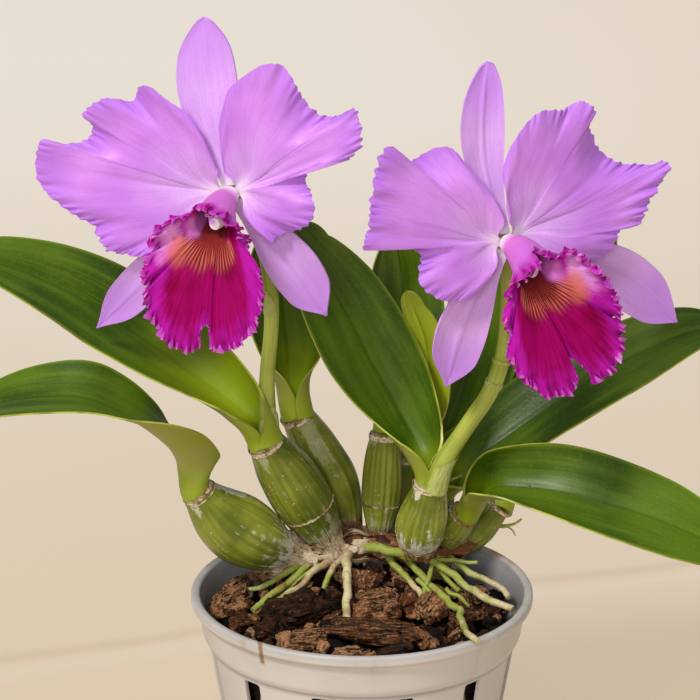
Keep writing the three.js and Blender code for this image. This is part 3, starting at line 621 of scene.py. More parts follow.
def joined(name, parts):
    deselect()
    for part in parts:
        part.select_set(True)
    bpy.context.view_layer.objects.active = parts[0]
    bpy.ops.object.join()
    piece = bpy.context.object
    piece.name = name
    piece.data.name = name
    return piece


def coat(piece, *finishes):
    """Fills a piece's material slots, in order."""
    for finish in finishes:
        piece.data.materials.append(finish.material)


def dress(piece, slot, *finishes, nodes=(), sharp=55):
    """Gives a piece its finishes, smooth shading by angle and its ride on the plant, and hides the nodes
    it stands for.
    """
    coat(piece, *finishes)
    select_only(piece)
    bpy.ops.object.shade_smooth_by_angle(angle=math.radians(sharp))
    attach(piece, "root")
    if nodes:
        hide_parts(*nodes)
    return piece


def roll(name, rod, sides, rows):
    """A closed skin round a rod, with rounded ends."""

    def place(s, t):
        along = (1 - math.cos(math.pi * s)) / 2
        rim = min(1.0, math.sin(math.pi * s) / 0.16)
        closing = math.sqrt(max(0.0, 1 - (1 - rim) ** 2))
        middle = rod.at(along, 0).lerp(rod.at(along, math.pi), 0.5)
        return middle.lerp(rod.at(along, math.pi * t), closing)

    piece = lay_grid(name, sides, rows, place)
    close_skin(piece)
    return piece


SHEATH_THICKNESS = 0.25


def wrap(rod, foot, top, turn, span, lift, flare, ragged, seed, size, point=0.0):
    """A papery sheath laid round a rod from foot to top, with a torn free edge. Turn and span
    are degrees, and size is its columns and rows."""
    columns, rows = size

    def place(s, t):
        angle = math.radians(turn + span * t / 2)
        arc = t * span / 90
        tear = ragged * (wander(seed, 3.1 * arc, 0) + 0.6 * wander(seed, 11 * arc, 5))
        side_tear = ragged * smooth(abs(t), 0.75, 1) * 0.8
        tip = top - (top - foot) * point * abs(t) ** 1.4
        along = between(foot, tip + tear - side_tear, s)
        raise_by = lift + flare * s * s + 0.35 * wander(seed + 7, 4 * s, 2.5 * arc)
        return rod.at(along, angle, raise_by)

    piece = lay_grid("sheath", columns, rows, place)
    thicken(piece, SHEATH_THICKNESS)
    return piece


# ------------------------------------------------------------------ finishes


def linear(colour):
    """A display colour as the linear one that a shader takes."""
    return tuple(c / 12.92 if c <= 0.04045 else ((c + 0.055) / 1.055) ** 2.4 for c in colour[:3])


def shade(r, g, b):
    """A display colour from 0 to 255."""
    return (r / 255, g / 255, b / 255)


class Wire:
    """A shader socket that does sums: every operator adds a Math node."""

    def __init__(self, finish, socket):
        self.finish = finish
        self.socket = socket

    def __add__(self, other):
        return self.finish.maths("ADD", self, other)

    def __radd__(self, other):
        return self.finish.maths("ADD", other, self)

    def __sub__(self, other):
        return self.finish.maths("SUBTRACT", self, other)

    def __rsub__(self, other):
        return self.finish.maths("SUBTRACT", other, self)

    def __mul__(self, other):
        return self.finish.maths("MULTIPLY", self, other)

    def __rmul__(self, other):
        return self.finish.maths("MULTIPLY", other, self)

    def __truediv__(self, other):
        return self.finish.maths("DIVIDE", self, other)

    def __pow__(self, other):
        return self.finish.maths("POWER", self, other)

    def __abs__(self):
        return self.finish.maths("ABSOLUTE", self, 0.0)


class Finish:
    """A material: its Principled shader, and the nodes that vary it."""

    def __init__(self, name, **constants):
        self.material = bpy.data.materials.new(name)
        self.material.use_nodes = True
        self.tree = self.material.node_tree
        self.shader = self.tree.nodes["Principled BSDF"]
        self.colour = None
        self.finish(**constants)

    def feed(self, socket, value):
        if isinstance(value, Wire):
            self.tree.links.new(value.socket, socket)
        elif socket.type == "RGBA":
            socket.default_value = (*linear(value), 1.0)
        else:
            socket.default_value = value

    def node(self, kind, settings, inputs, output=0):
        node = self.tree.nodes.new(kind)
        for key, value in settings.items():
            setattr(node, key, value)
        for key, value in inputs.items():
            self.feed(node.inputs[key], value)
        return Wire(self, node.outputs[output])

    def maths(self, operation, first, second=0.0):
        return self.node("ShaderNodeMath", {"operation": operation}, {0: first, 1: second})

    def coordinates(self, kind):
        return self.node("ShaderNodeTexCoord", {}, {}, kind)

    def split(self, vector):
        first = self.node("ShaderNodeSeparateXYZ", {}, {0: vector})
        return [Wire(self, output) for output in first.socket.node.outputs]

    def places(self):
        """Where a point is across and along its UV map, and on the part."""
        across, along, _ = self.split(self.coordinates("UV"))
        return across, along, self.coordinates("Object")

    def vector(self, x, y, z=0.0):
        return self.node("ShaderNodeCombineXYZ", {}, {0: x, 1: y, 2: z})

    def noise(self, vector, scale=1.0, detail=2.0, roughness=0.5, distortion=0.0):
        return self.node("ShaderNodeTexNoise", {}, {
            "Vector": vector, "Scale": scale, "Detail": detail, "Roughness": roughness,
            "Distortion": distortion})

    def streaks(self, detail, x, y, z=0.0):
        """Noise in its own space, stretched by how fast x, y and z run."""
        return self.noise(self.vector(x, y, z), 1.0, detail)

    def cells(self, vector, scale):
        return self.node("ShaderNodeTexVoronoi", {}, {"Vector": vector, "Scale": scale})

    def band(self, value, low, high, start=0.0, end=1.0):
        return self.node("ShaderNodeMapRange", {"interpolation_type": "SMOOTHSTEP"}, {
            0: value, 1: low, 2: high, 3: start, 4: end})

    def spot(self, x, y, centre, radii, rough):
        """The squared distance from an oval's centre, 1 on its rim, made rough by noise."""
        aside, above = (x - centre[0]) * (1 / radii[0]), (y - centre[1]) * (1 / radii[1])
        return aside * aside + above * above + rough

    def mix(self, mask, first, second):
        return self.node("ShaderNodeMix", {"data_type": "RGBA"}, {0: mask, 6: first, 7: second}, 2)

    def lay(self, mask, colour):
        """Lays a coat over the colour so far, where the mask is above 0."""
        self.colour = self.mix(mask, self.colour, colour)

    def bump(self, height, strength, distance):
        return self.node("ShaderNodeBump", {}, {
            "Height": height, "Strength": strength, "Distance": distance})

    def finish(self, **sockets):
        for key, value in sockets.items():
            self.feed(self.shader.inputs[key.replace("_", " ").title().replace("Ior", "IOR")], value)
        return self


def petal_finish(name, blooms, veins, white_reach, deep=0.0, pale=0.0):
    """Lavender tissue with faint veins that fan out from a white foot. Its UV map runs across
    and along the petal."""
    paint = Finish(name, roughness=0.5, subsurface_weight=0.08, sheen_weight=0.1)
    across, along, place = paint.places()
    fan = across + (paint.noise(place, 45.0, 1.0) - 0.5) * 0.04
    run = 1 - (1 - along) ** MARGIN_CROWDING
    fine = paint.streaks(3.0, fan * veins * 2.5, run * 4.0)
    broad = paint.streaks(2.0, fan * veins * 0.5, run * 1.4, 3.0)
    cloud = paint.noise(place, 26.0, 2.0)
    grain = paint.noise(place, 1000.0, 3.0)
    midrib = paint.band(abs(across - 0.5), 0.0, 0.012, 1.0, 0.0) * paint.band(run, 0.2, 0.9, 0.5, 0.0)
    vein = paint.band(fine, 0.5, 0.7) * 0.26 + paint.band(broad, 0.45, 0.7) * 0.14
    vein = vein * paint.band(run, 0.05, 0.3, 0.35, 1.0) + paint.band(grain, 0.48, 0.72) * 0.14
    paint.colour = paint.mix(paint.band(cloud, 0.35, 0.65), blooms.petal_light, blooms.petal)
    paint.lay(paint.band(run, 0.1, 0.6, 0.3, 0.0) + pale, blooms.petal_foot)
    paint.lay(vein + midrib, blooms.petal_vein)
    paint.lay(paint.band(run, 0.15, 0.6, deep, 0.0), blooms.petal_vein)
    # Towards the margin the tissue darkens, partly its own colour and partly painted shade.
    paint.lay(paint.band(run, 0.72, 1.0) * 0.6, blooms.petal_edge_and_shade)
    paint.lay(paint.band(run, 0.0, white_reach, 0.85, 0.0), blooms.petal_foot)
    crinkle = fine * 0.4 + grain * 0.35 + broad * 0.25
    return paint.finish(base_color=paint.colour, roughness=paint.band(cloud, 0.3, 0.7, 0.46, 0.58),
                        normal=paint.bump(crinkle, 0.35, 0.0005))


def lip_finish(name, blooms, hand):
    """The face of the lip: dark rays that fan out of the throat, an orange patch on each side,
    the one on the hand's side large and with a pale halo, a crimson middle and a curled
    magenta margin with painted lilac highlights on its crests and painted deep crimson shade
    in its troughs. The inside of the tube is painted dark as shade."""
    paint = Finish(name, specular_ior_level=0.06)
    across, along, place = paint.places()
    crest = paint.node("ShaderNodeAttribute", {"attribute_name": "crest"}, {}, 2)
    jitter = paint.noise(place, 160.0, 2.0) - 0.5
    turn = (across * 2.0 - 1.0) * hand
    depth = (along - LIP["mouth"]) * (1 / (1 - LIP["mouth"]))
    flare = 1 - (1 - paint.maths("MAXIMUM", depth)) ** MARGIN_CROWDING
    soft = paint.streaks(4.0, turn * 5.0, flare * 2.4, 5.0)
    fine = paint.streaks(3.0, turn * 80.0, flare * 3.0, 2.0)
    paint.colour = paint.mix(paint.band(soft, 0.3, 0.62), blooms.lip_deep_and_shade, blooms.lip)
    paint.lay(paint.band(fine, 0.5, 0.7) * 0.3, blooms.lip_vein)
    paint.lay(paint.band(fine, 0.3, 0.46, 0.35, 0.0), blooms.lip_deep_and_shade)
    outer = flare + paint.band(abs(turn), 0.28, 0.64) * 0.68 + (fine - 0.5) * 0.3 + jitter * 0.2
    paint.lay(paint.band(outer, 0.76, 1.02), blooms.lip_edge)
    # Painted highlight on the crests of the curled hem, and painted shade in its troughs.
    paint.lay(paint.band(crest + jitter * 0.5, 0.15, 0.85, 0.0, 0.72), blooms.lip_halo_and_highlight)
    paint.lay(paint.band(crest + jitter * 0.5, -0.7, -0.1, 0.75, 0.0), blooms.lip_deep_and_shade)
    halo = paint.spot(turn, flare, (0.68, 0.62), (0.11, 0.22), jitter * 2.2 + (fine - 0.5) * 2.0)
    paint.lay(paint.band(halo, 0.0, 2.4, 0.75, 0.0), blooms.lip_halo_and_highlight)
    cone = paint.band(turn, 0.34, 0.5) * paint.band(turn, 0.76, 0.9, 1.0, 0.0)
    paint.lay(cone * paint.band(flare, 0.12, 0.4, 0.9, 0.0), blooms.lip_tube)
    ends = flare + (fine - 0.5) * 0.2
    spread = paint.band(flare, 0.0, 0.14, 0.32, 0.4)
    fan = (turn - 0.06) / spread
    ground = paint.band(abs(fan), 0.85, 1.3, 1.0, 0.0) * paint.band(ends, 0.22, 0.4, 1.0, 0.0)
    inner = paint.mix(paint.band(flare, 0.02, 0.3), blooms.throat_deep, blooms.throat)
    inner = paint.mix(paint.band(fine, 0.4, 0.6) * 0.4, inner, blooms.throat_deep)
    paint.lay(ground * 0.92, inner)
    large = paint.spot(turn - flare * 0.3, flare, (0.4, 0.4), (0.13, 0.2), (fine - 0.5) * 2.4 + jitter)
    small = paint.spot(turn, flare, (-0.36, 0.18), (0.07, 0.14), (fine - 0.5) * 2.4 + jitter)
    large, small = paint.band(large, 0.0, 2.6, 0.85, 0.0), paint.band(small, 0.0, 2.0, 1.0, 0.0)
    paint.lay(paint.maths("MAXIMUM", large, small), blooms.throat)
    wobble = paint.streaks(1.0, turn * 3.0, flare * 2.5, 8.0) - 0.5
    wave = paint.maths("SINE", fan * 56.0 + wobble * 11.0)
    rays = paint.band(wave + (fine - 0.5) * 2.0 - ends * 1.2, -1.0, 0.1)
    rays = rays * paint.band(abs(fan), 0.9, 1.5, 1.0, 0.0) * paint.band(ends, 0.26, 0.5, 1.0, 0.0)
    paint.lay(rays * 0.9, blooms.throat_ray_and_shade)
    # Painted shade: the inside of the tube is laid in the dark ray colour.
    paint.lay(paint.band(depth, -0.3, -0.02, 0.9, 0.0), blooms.throat_ray_and_shade)
    velvet = rays * 0.3 + soft * 0.8 + fine * 0.4 + paint.noise(place, 700.0, 2.0) * 0.4
    return paint.finish(base_color=paint.colour, roughness=paint.band(soft, 0.3, 0.7, 0.45, 0.62),
                        normal=paint.bump(velvet, 0.5, 0.0008))


def lip_back_finish(name, blooms):
    """The outside of the lip: a lilac tube that turns magenta near its margin, with a painted lilac
    highlight along the margin.
    """
    paint = Finish(name, roughness=0.5, specular_ior_level=0.35)
    across, along, place = paint.places()
    fine = paint.streaks(2.0, across * 120.0, along * 4.0)
    cloud = paint.noise(place, 60.0, 2.0)
    paint.colour = paint.mix(paint.band(along, 0.3, 0.62), blooms.lip_tube, blooms.lip_edge)
    paint.lay(paint.band(cloud, 0.4, 0.7) * 0.4, blooms.petal_vein)
    # Painted highlight: the lilac halo colour along the back of the margin.
    paint.lay(paint.band(along, 0.88, 1.0) * 0.3, blooms.lip_halo_and_highlight)
    paint.lay(paint.band(along, 0.0, 0.1, 0.9, 0.0), blooms.petal_foot)
    return paint.finish(base_color=paint.colour,
                        normal=paint.bump(fine + paint.noise(place, 800.0) * 0.4, 0.3, 0.0006))


def column_finish(name, blooms):
    paint = Finish(name, roughness=0.35)
    place = paint.coordinates("Object")
    mottle = paint.noise(place, 300.0, 2.0)
    paint.colour = paint.mix(paint.band(mottle, 0.4, 0.65), blooms.column, blooms.petal_light)
    return paint.finish(base_color=paint.colour, normal=paint.bump(mottle, 0.2, 0.0005))


def leaf_finish(name, low, high, foot, roughness=0.36, reach=0.2):
    """A glossy blade with a fine leathery grain, faint parallel veins, a darker midrib and a
    paler foot."""
    paint = Finish(name, coat_roughness=0.3, specular_ior_level=0.3)
    across, along, place = paint.places()
    vein = paint.streaks(2.0, across * 70.0, along * 4.0)
    streak = paint.streaks(2.0, across * 9.0, along * 2.0, 7.0)
    cloud = paint.noise(place, 16.0, 3.0)
    pores = paint.noise(place, 700.0, 2.0)
    paint.colour = paint.mix(paint.band(cloud * 0.7 + streak * 0.3, 0.38, 0.62), low, high)
    paint.lay(paint.band(vein, 0.48, 0.75) * 0.12, foot)
    paint.lay(paint.band(pores, 0.55, 0.72) * 0.1, foot)
    middle = abs(across - 0.5)
    rib = paint.band(middle, 0.0, 0.03, 1.0, 0.0)
    paint.lay(rib * 0.45, low)
    paint.lay(paint.band(middle, 0.46, 0.5) * 0.3, foot)
    pale = paint.band(along + (streak - 0.5) * 0.08 + middle * 0.08, 0.03, reach, 0.85, 0.0)
    paint.lay(pale, foot)
    relief = vein * 0.25 + streak * 0.4 - rib * 0.5 + pores * 0.35 + cloud * 1.2
    return paint.finish(base_color=paint.colour, normal=paint.bump(relief, 0.25, 0.0006),
                        roughness=paint.band(cloud, 0.3, 0.7, roughness - 0.05, roughness + 0.08),
                        coat_weight=paint.band(streak, 0.4, 0.65, 0.0, 0.12))


def edge_finish(name, colour):
    paint = Finish(name, roughness=0.4)
    place = paint.coordinates("Object")
    mottle = paint.noise(place, 90.0, 2.0)
    return paint.finish(base_color=paint.mix(paint.band(mottle, 0.4, 0.7), colour, shade(128, 120, 44)))


def bulb_finish(name, plant, film, brown, pale):
    """A satin green bulb with shallow ribs, chalky remains of its sheaths in streaks, dots
    and torn patches, and brown scars at both ends."""
    paint = Finish(name, coat_roughness=0.3, specular_ior_level=0.25)
    around, along, place = paint.places()
    ribs = paint.streaks(2.0, around * 30.0, along * 1.2)
    wide = paint.streaks(2.0, around * 7.0, along * 1.6, 4.0)
    thread = paint.streaks(4.0, around * 80.0, along * 6.0, 9.0)
    cloud = paint.noise(place, 55.0, 3.0)
    chalk = paint.noise(place, 260.0, 4.0, 0.65)
    paint.colour = paint.mix(paint.band(cloud + pale, 0.3, 0.7), plant.bulb, plant.bulb_light)
    paint.lay(paint.band(ribs, 0.42, 0.66) * 0.4, plant.bulb_dark)
    low = paint.band(along + (wide - 0.5) * 0.5, 0.1, 0.46, 1.0, 0.0)
    torn = paint.band(wide + (chalk - 0.5) * 0.3 + low * 0.16, 0.56, 0.6)
    paint.lay(torn * film * 0.32, plant.film)
    ends = low + paint.band(along, 0.84, 0.95) * 0.5
    silver = paint.band(thread * 0.4 + chalk * 0.35 + wide * 0.25 + ends * (0.12 * film), 0.55, 0.66)
    paint.lay(silver * (0.5 + 0.3 * film), plant.film)
    dots = paint.band(paint.cells(place, 330.0), 0.08, 0.18, 1.0, 0.0) * paint.band(cloud, 0.5, 0.56)
    paint.lay(dots * 0.6, plant.film)
    scar = paint.band(along + (ribs - 0.5) * 0.06, 0.93, 0.985) * 0.6
    base = paint.band(along + (thread - 0.5) * 0.16, brown - 0.05, brown + 0.06, 0.9, 0.0)
    paint.lay(scar, plant.husk_dark)
    paint.lay(base, paint.mix(paint.band(chalk, 0.45, 0.6), plant.scar, plant.husk_dark))
    rough = paint.band(silver + base + torn * 0.3, 0.0, 0.8, 0.28, 0.6)
    relief = ribs * 0.6 + wide * 0.4 + silver * 0.5 + chalk * 0.25
    return paint.finish(base_color=paint.colour, roughness=rough, normal=paint.bump(relief, 0.6, 0.001),
                        coat_weight=paint.band(silver, 0.0, 0.5, 0.22, 0.0))


def papery_finish(name, pale, dark, streaks, share, old=0.0):
    """Dry sheath: long fibres, pale with darker stains. A greater share keeps more of it pale,
    and old makes it darker to the right."""
    paint = Finish(name)
    around, along, place = paint.places()
    x, _, _ = paint.split(place)
    fibre = paint.streaks(3.0, around * streaks, along * 2.0)
    thread = paint.streaks(3.0, around * streaks * 3.0, along * 2.0, 6.0)
    stain = paint.noise(place, 150.0, 4.0)
    mask = paint.band(stain * 0.6 + fibre * 0.4 + paint.band(x, -0.006, 0.016, 0.0, old),
                      share - 0.05, share + 0.12)
    paint.colour = paint.mix(mask, pale, dark)
    paint.lay(paint.band(thread, 0.5, 0.64) * 0.7, dark)
    rim = paint.maths("MAXIMUM", paint.band(along, 0.8, 1.0), paint.band(abs(around - 0.5), 0.36, 0.5))
    paint.lay(paint.band(rim + (fibre - 0.5) * 1.2, 0.5, 1.2) * 0.75, dark)
    return paint.finish(base_color=paint.colour, roughness=paint.band(fibre, 0.3, 0.7, 0.45, 0.7),
                        normal=paint.bump(fibre + thread + stain * 0.5, 0.8, 0.0008))


def stalk_finish(name, plant):
    paint = Finish(name, coat_weight=0.2, coat_roughness=0.25)
    around, along, place = paint.places()
    fibre = paint.streaks(2.0, around * 22.0, along * 6.0)
    cloud = paint.noise(place, 40.0, 2.0)
    paint.colour = paint.mix(paint.band(cloud, 0.35, 0.65), plant.stalk, plant.stalk_light)
    paint.lay(paint.band(fibre, 0.5, 0.75) * 0.35, plant.bulb_dark)
    paint.lay(paint.band(along, 0.93, 0.99) * 0.8, shade(214, 216, 150))
    return paint.finish(base_color=paint.colour, roughness=paint.band(fibre, 0.3, 0.7, 0.32, 0.45),
                        normal=paint.bump(fibre + cloud, 0.25, 0.0006))


def root_finish(name, plant, foot, tip):
    """Roots with a cream velvet skin that lets the green through, and dry brown patches. Foot
    and tip say how green each end is."""
    paint = Finish(name)
    around, along, place = paint.places()
    skin = paint.noise(place, 110.0, 3.0)
    spots = paint.noise(place, 520.0, 2.0)
    rings = paint.streaks(2.0, around * 2.0, along * 44.0)
    fresh = paint.band(along, 0.3, 1.0, foot, tip) + (skin - 0.5) * 1.6
    paint.colour = paint.mix(paint.band(fresh, 0.3, 0.75), plant.root_skin, plant.root)
    paint.lay(paint.band(spots, 0.5, 0.7) * 0.35, plant.root_light)
    dry = paint.band(paint.noise(place, 70.0, 3.0) - fresh * 0.12, 0.46, 0.6) * 0.55
    paint.lay(dry, plant.husk_dark)
    lines = paint.band(rings, 0.56, 0.66) * paint.band(fresh, 0.2, 0.9, 0.5, 0.12)
    paint.lay(lines, plant.husk_dark)
    return paint.finish(base_color=paint.colour, roughness=paint.band(skin, 0.3, 0.7, 0.45, 0.65),
                        normal=paint.bump(spots * 0.6 + rings * 0.8 + skin, 0.7, 0.0008))


def bark_finish(name, bark):
    """Fibrous bark with a long grain, near black in its cracks as painted shade, and dusty on its worn
    faces.
    """
    paint = Finish(name, specular_ior_level=0.25)
    place = paint.coordinates("Object")
    tone = paint.node("ShaderNodeAttribute", {"attribute_name": "tone"}, {}, 2)
    grain = paint.node("ShaderNodeAttribute", {"attribute_name": "grain"}, {}, 1)
    fibre = paint.noise(grain, 1.0, 4.0, 0.62, 0.4)
    lump = paint.noise(place, 120.0, 4.0, 0.62)
    grit = paint.noise(place, 900.0, 4.0, 0.65)
    reddish = paint.band(lump * 0.4 + fibre * 0.3 + tone * 0.4, 0.36, 0.8)
    paint.colour = paint.mix(reddish, bark.dark, bark.light)
    worn = paint.band(grit * 0.35 + fibre * 0.4 + tone * 0.3, 0.5, 0.66)
    paint.lay(worn * 0.8, bark.dust)
    # Painted shade: near black in the cracks between fibres.
    paint.lay(paint.band(fibre * 0.6 + lump * 0.4, 0.4, 0.5, 0.95, 0.0), bark.crack_shade)
    return paint.finish(base_color=paint.colour, roughness=paint.band(lump, 0.3, 0.7, 0.55, 0.85),
                        normal=paint.bump(fibre * 1.2 + grit * 0.35 + lump * 0.8, 0.95, 0.0018))


def pot_finish(name, pot):
    """Moulded plastic with a faint grain, light scuffs and water marks under the rim. The rim top
    and the inner wall are painted blue-grey as shade, and the stains under the rim grow towards
    the right as painted shade.
    """
    paint = Finish(name)
    place = paint.coordinates("Object")
    x, y, z = paint.split(place)
    cloud = paint.noise(place, 14.0, 4.0)
    drip = paint.streaks(3.0, x * 60.0, y * 60.0, z * 7.0)
    grain = paint.noise(place, 1500.0, 2.0)
    paint.colour = paint.mix(paint.band(cloud, 0.35, 0.68) * 0.6, pot.plastic, pot.plastic_shade)
    marks = paint.band(drip, 0.6, 0.74) * paint.band(z, 0.06, 0.125, 0.1, 0.4)
    paint.lay(marks, pot.stain)
    radius = paint.maths("SQRT", x * x + y * y)
    # Painted shade: the rim top is greyed with the blue-grey inner colour.
    paint.lay(paint.band(z, 0.1262, 0.129) * 0.35, pot.inside)
    # Blotchy stain under the rim, made stronger towards the right as painted shade on the pot's darker
    # side.
    stain_and_right_shade = paint.band(cloud * 0.5 + drip * 0.5, 0.47, 0.62) * paint.band(x, 0.0, 0.07, 0.1, 0.7)
    paint.lay(stain_and_right_shade * paint.band(z, 0.1, 0.13), pot.stain)
    # Painted shade: the inner wall of the collar takes the blue-grey inner colour.
    within = paint.band(radius - z * 0.143, 0.0572, 0.0578, 0.85, 0.0) * paint.band(z, 0.104, 0.108)
    paint.lay(within, pot.inside)
    trickle = abs(x + 0.0462 + (drip - 0.5) * 0.004 + (z - 0.13) * 0.12)
    trickle = paint.band(trickle, 0.0006, 0.0013, 0.9, 0.0) * paint.band(y, -0.06, -0.055, 1.0, 0.0)
    paint.lay(trickle * paint.band(z, 0.118, 0.1195), pot.stain)
    scuff = paint.band(paint.streaks(2.0, x * 90.0, y * 90.0, z * 500.0), 0.68, 0.74)
    paint.lay(scuff * 0.25, pot.plastic_light)
    return paint.finish(base_color=paint.colour,
                        roughness=paint.band(cloud + scuff * 0.3, 0.3, 0.7, 0.32, 0.46),
                        normal=paint.bump(grain + cloud * 0.4, 0.12, 0.0004))


def floor_finish(name, stage):
    """Cream cloth with painted shade that deepens near the pot and towards the right, and a faint
    fold behind it painted as a line of shade with a lighter line beyond. It glows with its own
    colour, painted light that weakens the shadows cast on it.
    """
    paint = Finish(name, roughness=0.85)
    place = paint.coordinates("Object")
    x, y, _ = paint.split(place)
    cloud = paint.noise(place, 2.2, 3.0)
    weave = paint.noise(place, 500.0, 2.0)
    # Painted shade: the floor takes the darker floor shade near the pot and towards the right.
    far = paint.band(y + (cloud - 0.5) * 0.4, 0.0, 1.5)
    aside = paint.band(x + y * 0.1, 0.05, 0.5, 1.0, 0.7)
    paint.colour = paint.mix(far * aside, stage.floor_shade, stage.floor)
    # The fold is painted: a line of shade, then a lighter line beyond it as painted light.
    fold = y - x * 0.37 - 0.28 + (paint.noise(place, 9.0, 2.0) - 0.5) * 0.03
    paint.lay(paint.band(abs(fold), 0.0, 0.012, 0.22, 0.0), stage.floor_fold)
    paint.lay(paint.band(abs(fold + 0.02), 0.0, 0.016, 0.15, 0.0), stage.floor)
    # The floor glows with its own colour over a darkened base, as painted light that weakens the shadows
    # cast on it.
    return paint.finish(base_color=paint.mix(0.75, paint.colour, shade(40, 38, 36)),
                        emission_color=paint.colour, emission_strength=0.7,
                        normal=paint.bump(weave + cloud * 3.0, 0.05, 0.001))


# ------------------------------------------------------------------ settings


def colour_setting(name, description, r, g, b):
    return bpy.props.FloatVectorProperty(
        name=name, description=description, subtype="COLOR_GAMMA", size=3, min=0, max=1,
        default=shade(r, g, b))


def number_setting(name, description, value, **limits):
    return bpy.props.FloatProperty(name=name, description=description, default=value, **limits)


def count_setting(name, description, value, least):
    return bpy.props.IntProperty(name=name, description=description, default=value, min=least)


def length_setting(name, description, millimetres):
    return number_setting(name, description, millimetres * MM, unit="LENGTH", min=0)


class OrchidPotSettings(bpy.types.PropertyGroup):
    height: number_setting("Height", "Height of the rim", POT_HIGH[2], unit="LENGTH")
    rim: number_setting("Rim", "Outer radius of the rim", POT_HIGH[0], unit="LENGTH")
    slots: count_setting("Slots", "Number of slots round the wall", 12, 3)
    slot_width: length_setting("Slot width", "Width of a slot", 10)
    plastic: colour_setting("Plastic", "Colour of the plastic", 206, 200, 194)
    plastic_shade: colour_setting("Plastic shade", "Its greyer clouds", 188, 185, 183)
    plastic_light: colour_setting("Plastic light", "Its scuffs", 222, 216, 208)
    # The inner colour is painted shade, laid on the inner wall and the rim top.
    inside: colour_setting("Inside", "Blue-grey of its inner wall", 140, 141, 145)
    stain: colour_setting("Stain", "Water marks", 136, 104, 66)


class OrchidBarkSettings(bpy.types.PropertyGroup):
    chips: count_setting("Chips", "Tries at a loose chip in each layer", 320, 0)
    dark: colour_setting("Dark bark", "Its darker parts", 18, 10, 5)
    light: colour_setting("Light bark", "Its redder parts", 122, 70, 34)
    dust: colour_setting("Dust", "Dusty worn faces", 200, 150, 108)
    # The crack colour is painted shade.
    crack_shade: colour_setting("Cracks", "Deep cracks", 3, 2, 1)


class OrchidPlantSettings(bpy.types.PropertyGroup):
    leaf: colour_setting("Leaf", "Leaf green", 42, 70, 4)
    leaf_light: colour_setting("Leaf light", "Lighter leaf green", 80, 108, 10)
    leaf_foot: colour_setting("Leaf foot", "Yellow-green foot of a leaf", 150, 168, 24)
    leaf_back: colour_setting("Leaf back", "Underside of a leaf", 160, 158, 98)
    leaf_margin: colour_setting("Leaf margin", "The line round a leaf", 176, 184, 70)
    young: colour_setting("Young leaf", "Young leaf", 128, 134, 32)
    bulb: colour_setting("Bulb", "Bulb green", 94, 106, 26)
    bulb_light: colour_setting("Bulb light", "Lighter bulb green", 146, 150, 52)
    bulb_dark: colour_setting("Bulb dark", "Dark lines of a bulb", 62, 76, 12)
    film: colour_setting("Film", "Silvery remains of sheaths", 212, 208, 188)
    husk: colour_setting("Husk", "Pale papery husks", 250, 232, 196)
    husk_dark: colour_setting("Husk stain", "Brown husks and scars", 136, 84, 46)
    scar: colour_setting("Scar", "Dark red-brown old stem", 66, 36, 20)
    stalk: colour_setting("Stalk", "Flower stalk", 130, 146, 34)
    stalk_light: colour_setting("Stalk light", "Lighter stalk green", 170, 180, 74)
    bract: colour_setting("Bract", "Pale bracts of a stalk", 190, 194, 118)
    root: colour_setting("Root", "Root green", 150, 160, 66)
    root_light: colour_setting("Root light", "Lighter flecks of a root", 194, 196, 134)
    root_skin: colour_setting("Root skin", "Silvery skin of a root", 206, 190, 150)


class OrchidBloomSettings(bpy.types.PropertyGroup):
    frill: length_setting("Frill", "Depth of the petals' frill", 1.2)
    petal: colour_setting("Petal", "Lavender of petals and sepals", 196, 120, 228)
    petal_light: colour_setting("Petal light", "Its lighter clouds", 216, 142, 240)
    petal_vein: colour_setting("Veins", "Veins and midribs", 176, 90, 204)
    # The margin colour is partly the petal's own colour and partly painted shade.
    petal_edge_and_shade: colour_setting("Petal edge", "Colour towards the margin", 178, 106, 222)
    petal_foot: colour_setting("Petal foot", "White foot of a petal", 248, 232, 244)
    lip: colour_setting("Lip", "Crimson magenta of the lip", 152, 2, 92)
    # The deepest crimson also paints the shade in the troughs of the hem.
    lip_deep_and_shade: colour_setting("Lip deep", "Its deepest crimson", 122, 0, 54)
    lip_vein: colour_setting("Lip veins", "Veins of the lip", 184, 10, 126)
    lip_edge: colour_setting("Lip edge", "Bright margin of the lip", 174, 24, 158)
    # The halo colour also paints the highlights on the crests of the hem and along the back of the
    # margin.
    lip_halo_and_highlight: colour_setting("Lip halo", "Pale ring round the orange", 224, 158, 226)
    lip_tube: colour_setting("Lip tube", "Lilac tube of the lip", 204, 112, 196)
    throat: colour_setting("Throat", "Orange of the throat", 204, 106, 88)
    throat_deep: colour_setting("Throat deep", "Deep orange between the rays", 176, 70, 58)
    # The dark ray colour also paints the shade inside the tube.
    throat_ray_and_shade: colour_setting("Throat rays", "Dark rays of the throat", 92, 10, 26)
    column: colour_setting("Column", "White column", 246, 234, 244)


class OrchidStageSettings(bpy.types.PropertyGroup):
    distance: length_setting("Distance", "How far in front of the pot the camera stands", 1500)
    eye_height: length_setting("Eye height", "Height of the camera", 764.5)
    aside: length_setting("Aside", "How far left of the pot the camera stands", 5.6)
    tilt: number_setting("Tilt", "How far the camera looks down", math.radians(19), subtype="ANGLE")
    lens: number_setting("Lens", "Focal length in mm", 178.5)
    floor: colour_setting("Floor", "Cream floor", 240, 231, 219)
    # Floor shade is painted shade, laid near the pot and towards the right.
    floor_shade: colour_setting("Floor shade", "Its darker clouds", 222, 202, 174)
    floor_fold: colour_setting("Floor fold", "Shade in its fold", 186, 160, 128)
    daylight: colour_setting("Daylight", "Colour of the soft light all round", 247, 249, 255)
    daylight_power: number_setting("Daylight power", "Its strength", 0.25)
    key_power: number_setting("Key power", "Strength of the key light", 2.1)
    fill_power: number_setting("Fill power", "Watts of the soft box in front", 15)
    top_power: number_setting("Top power", "Watts of the soft box overhead", 3.5)


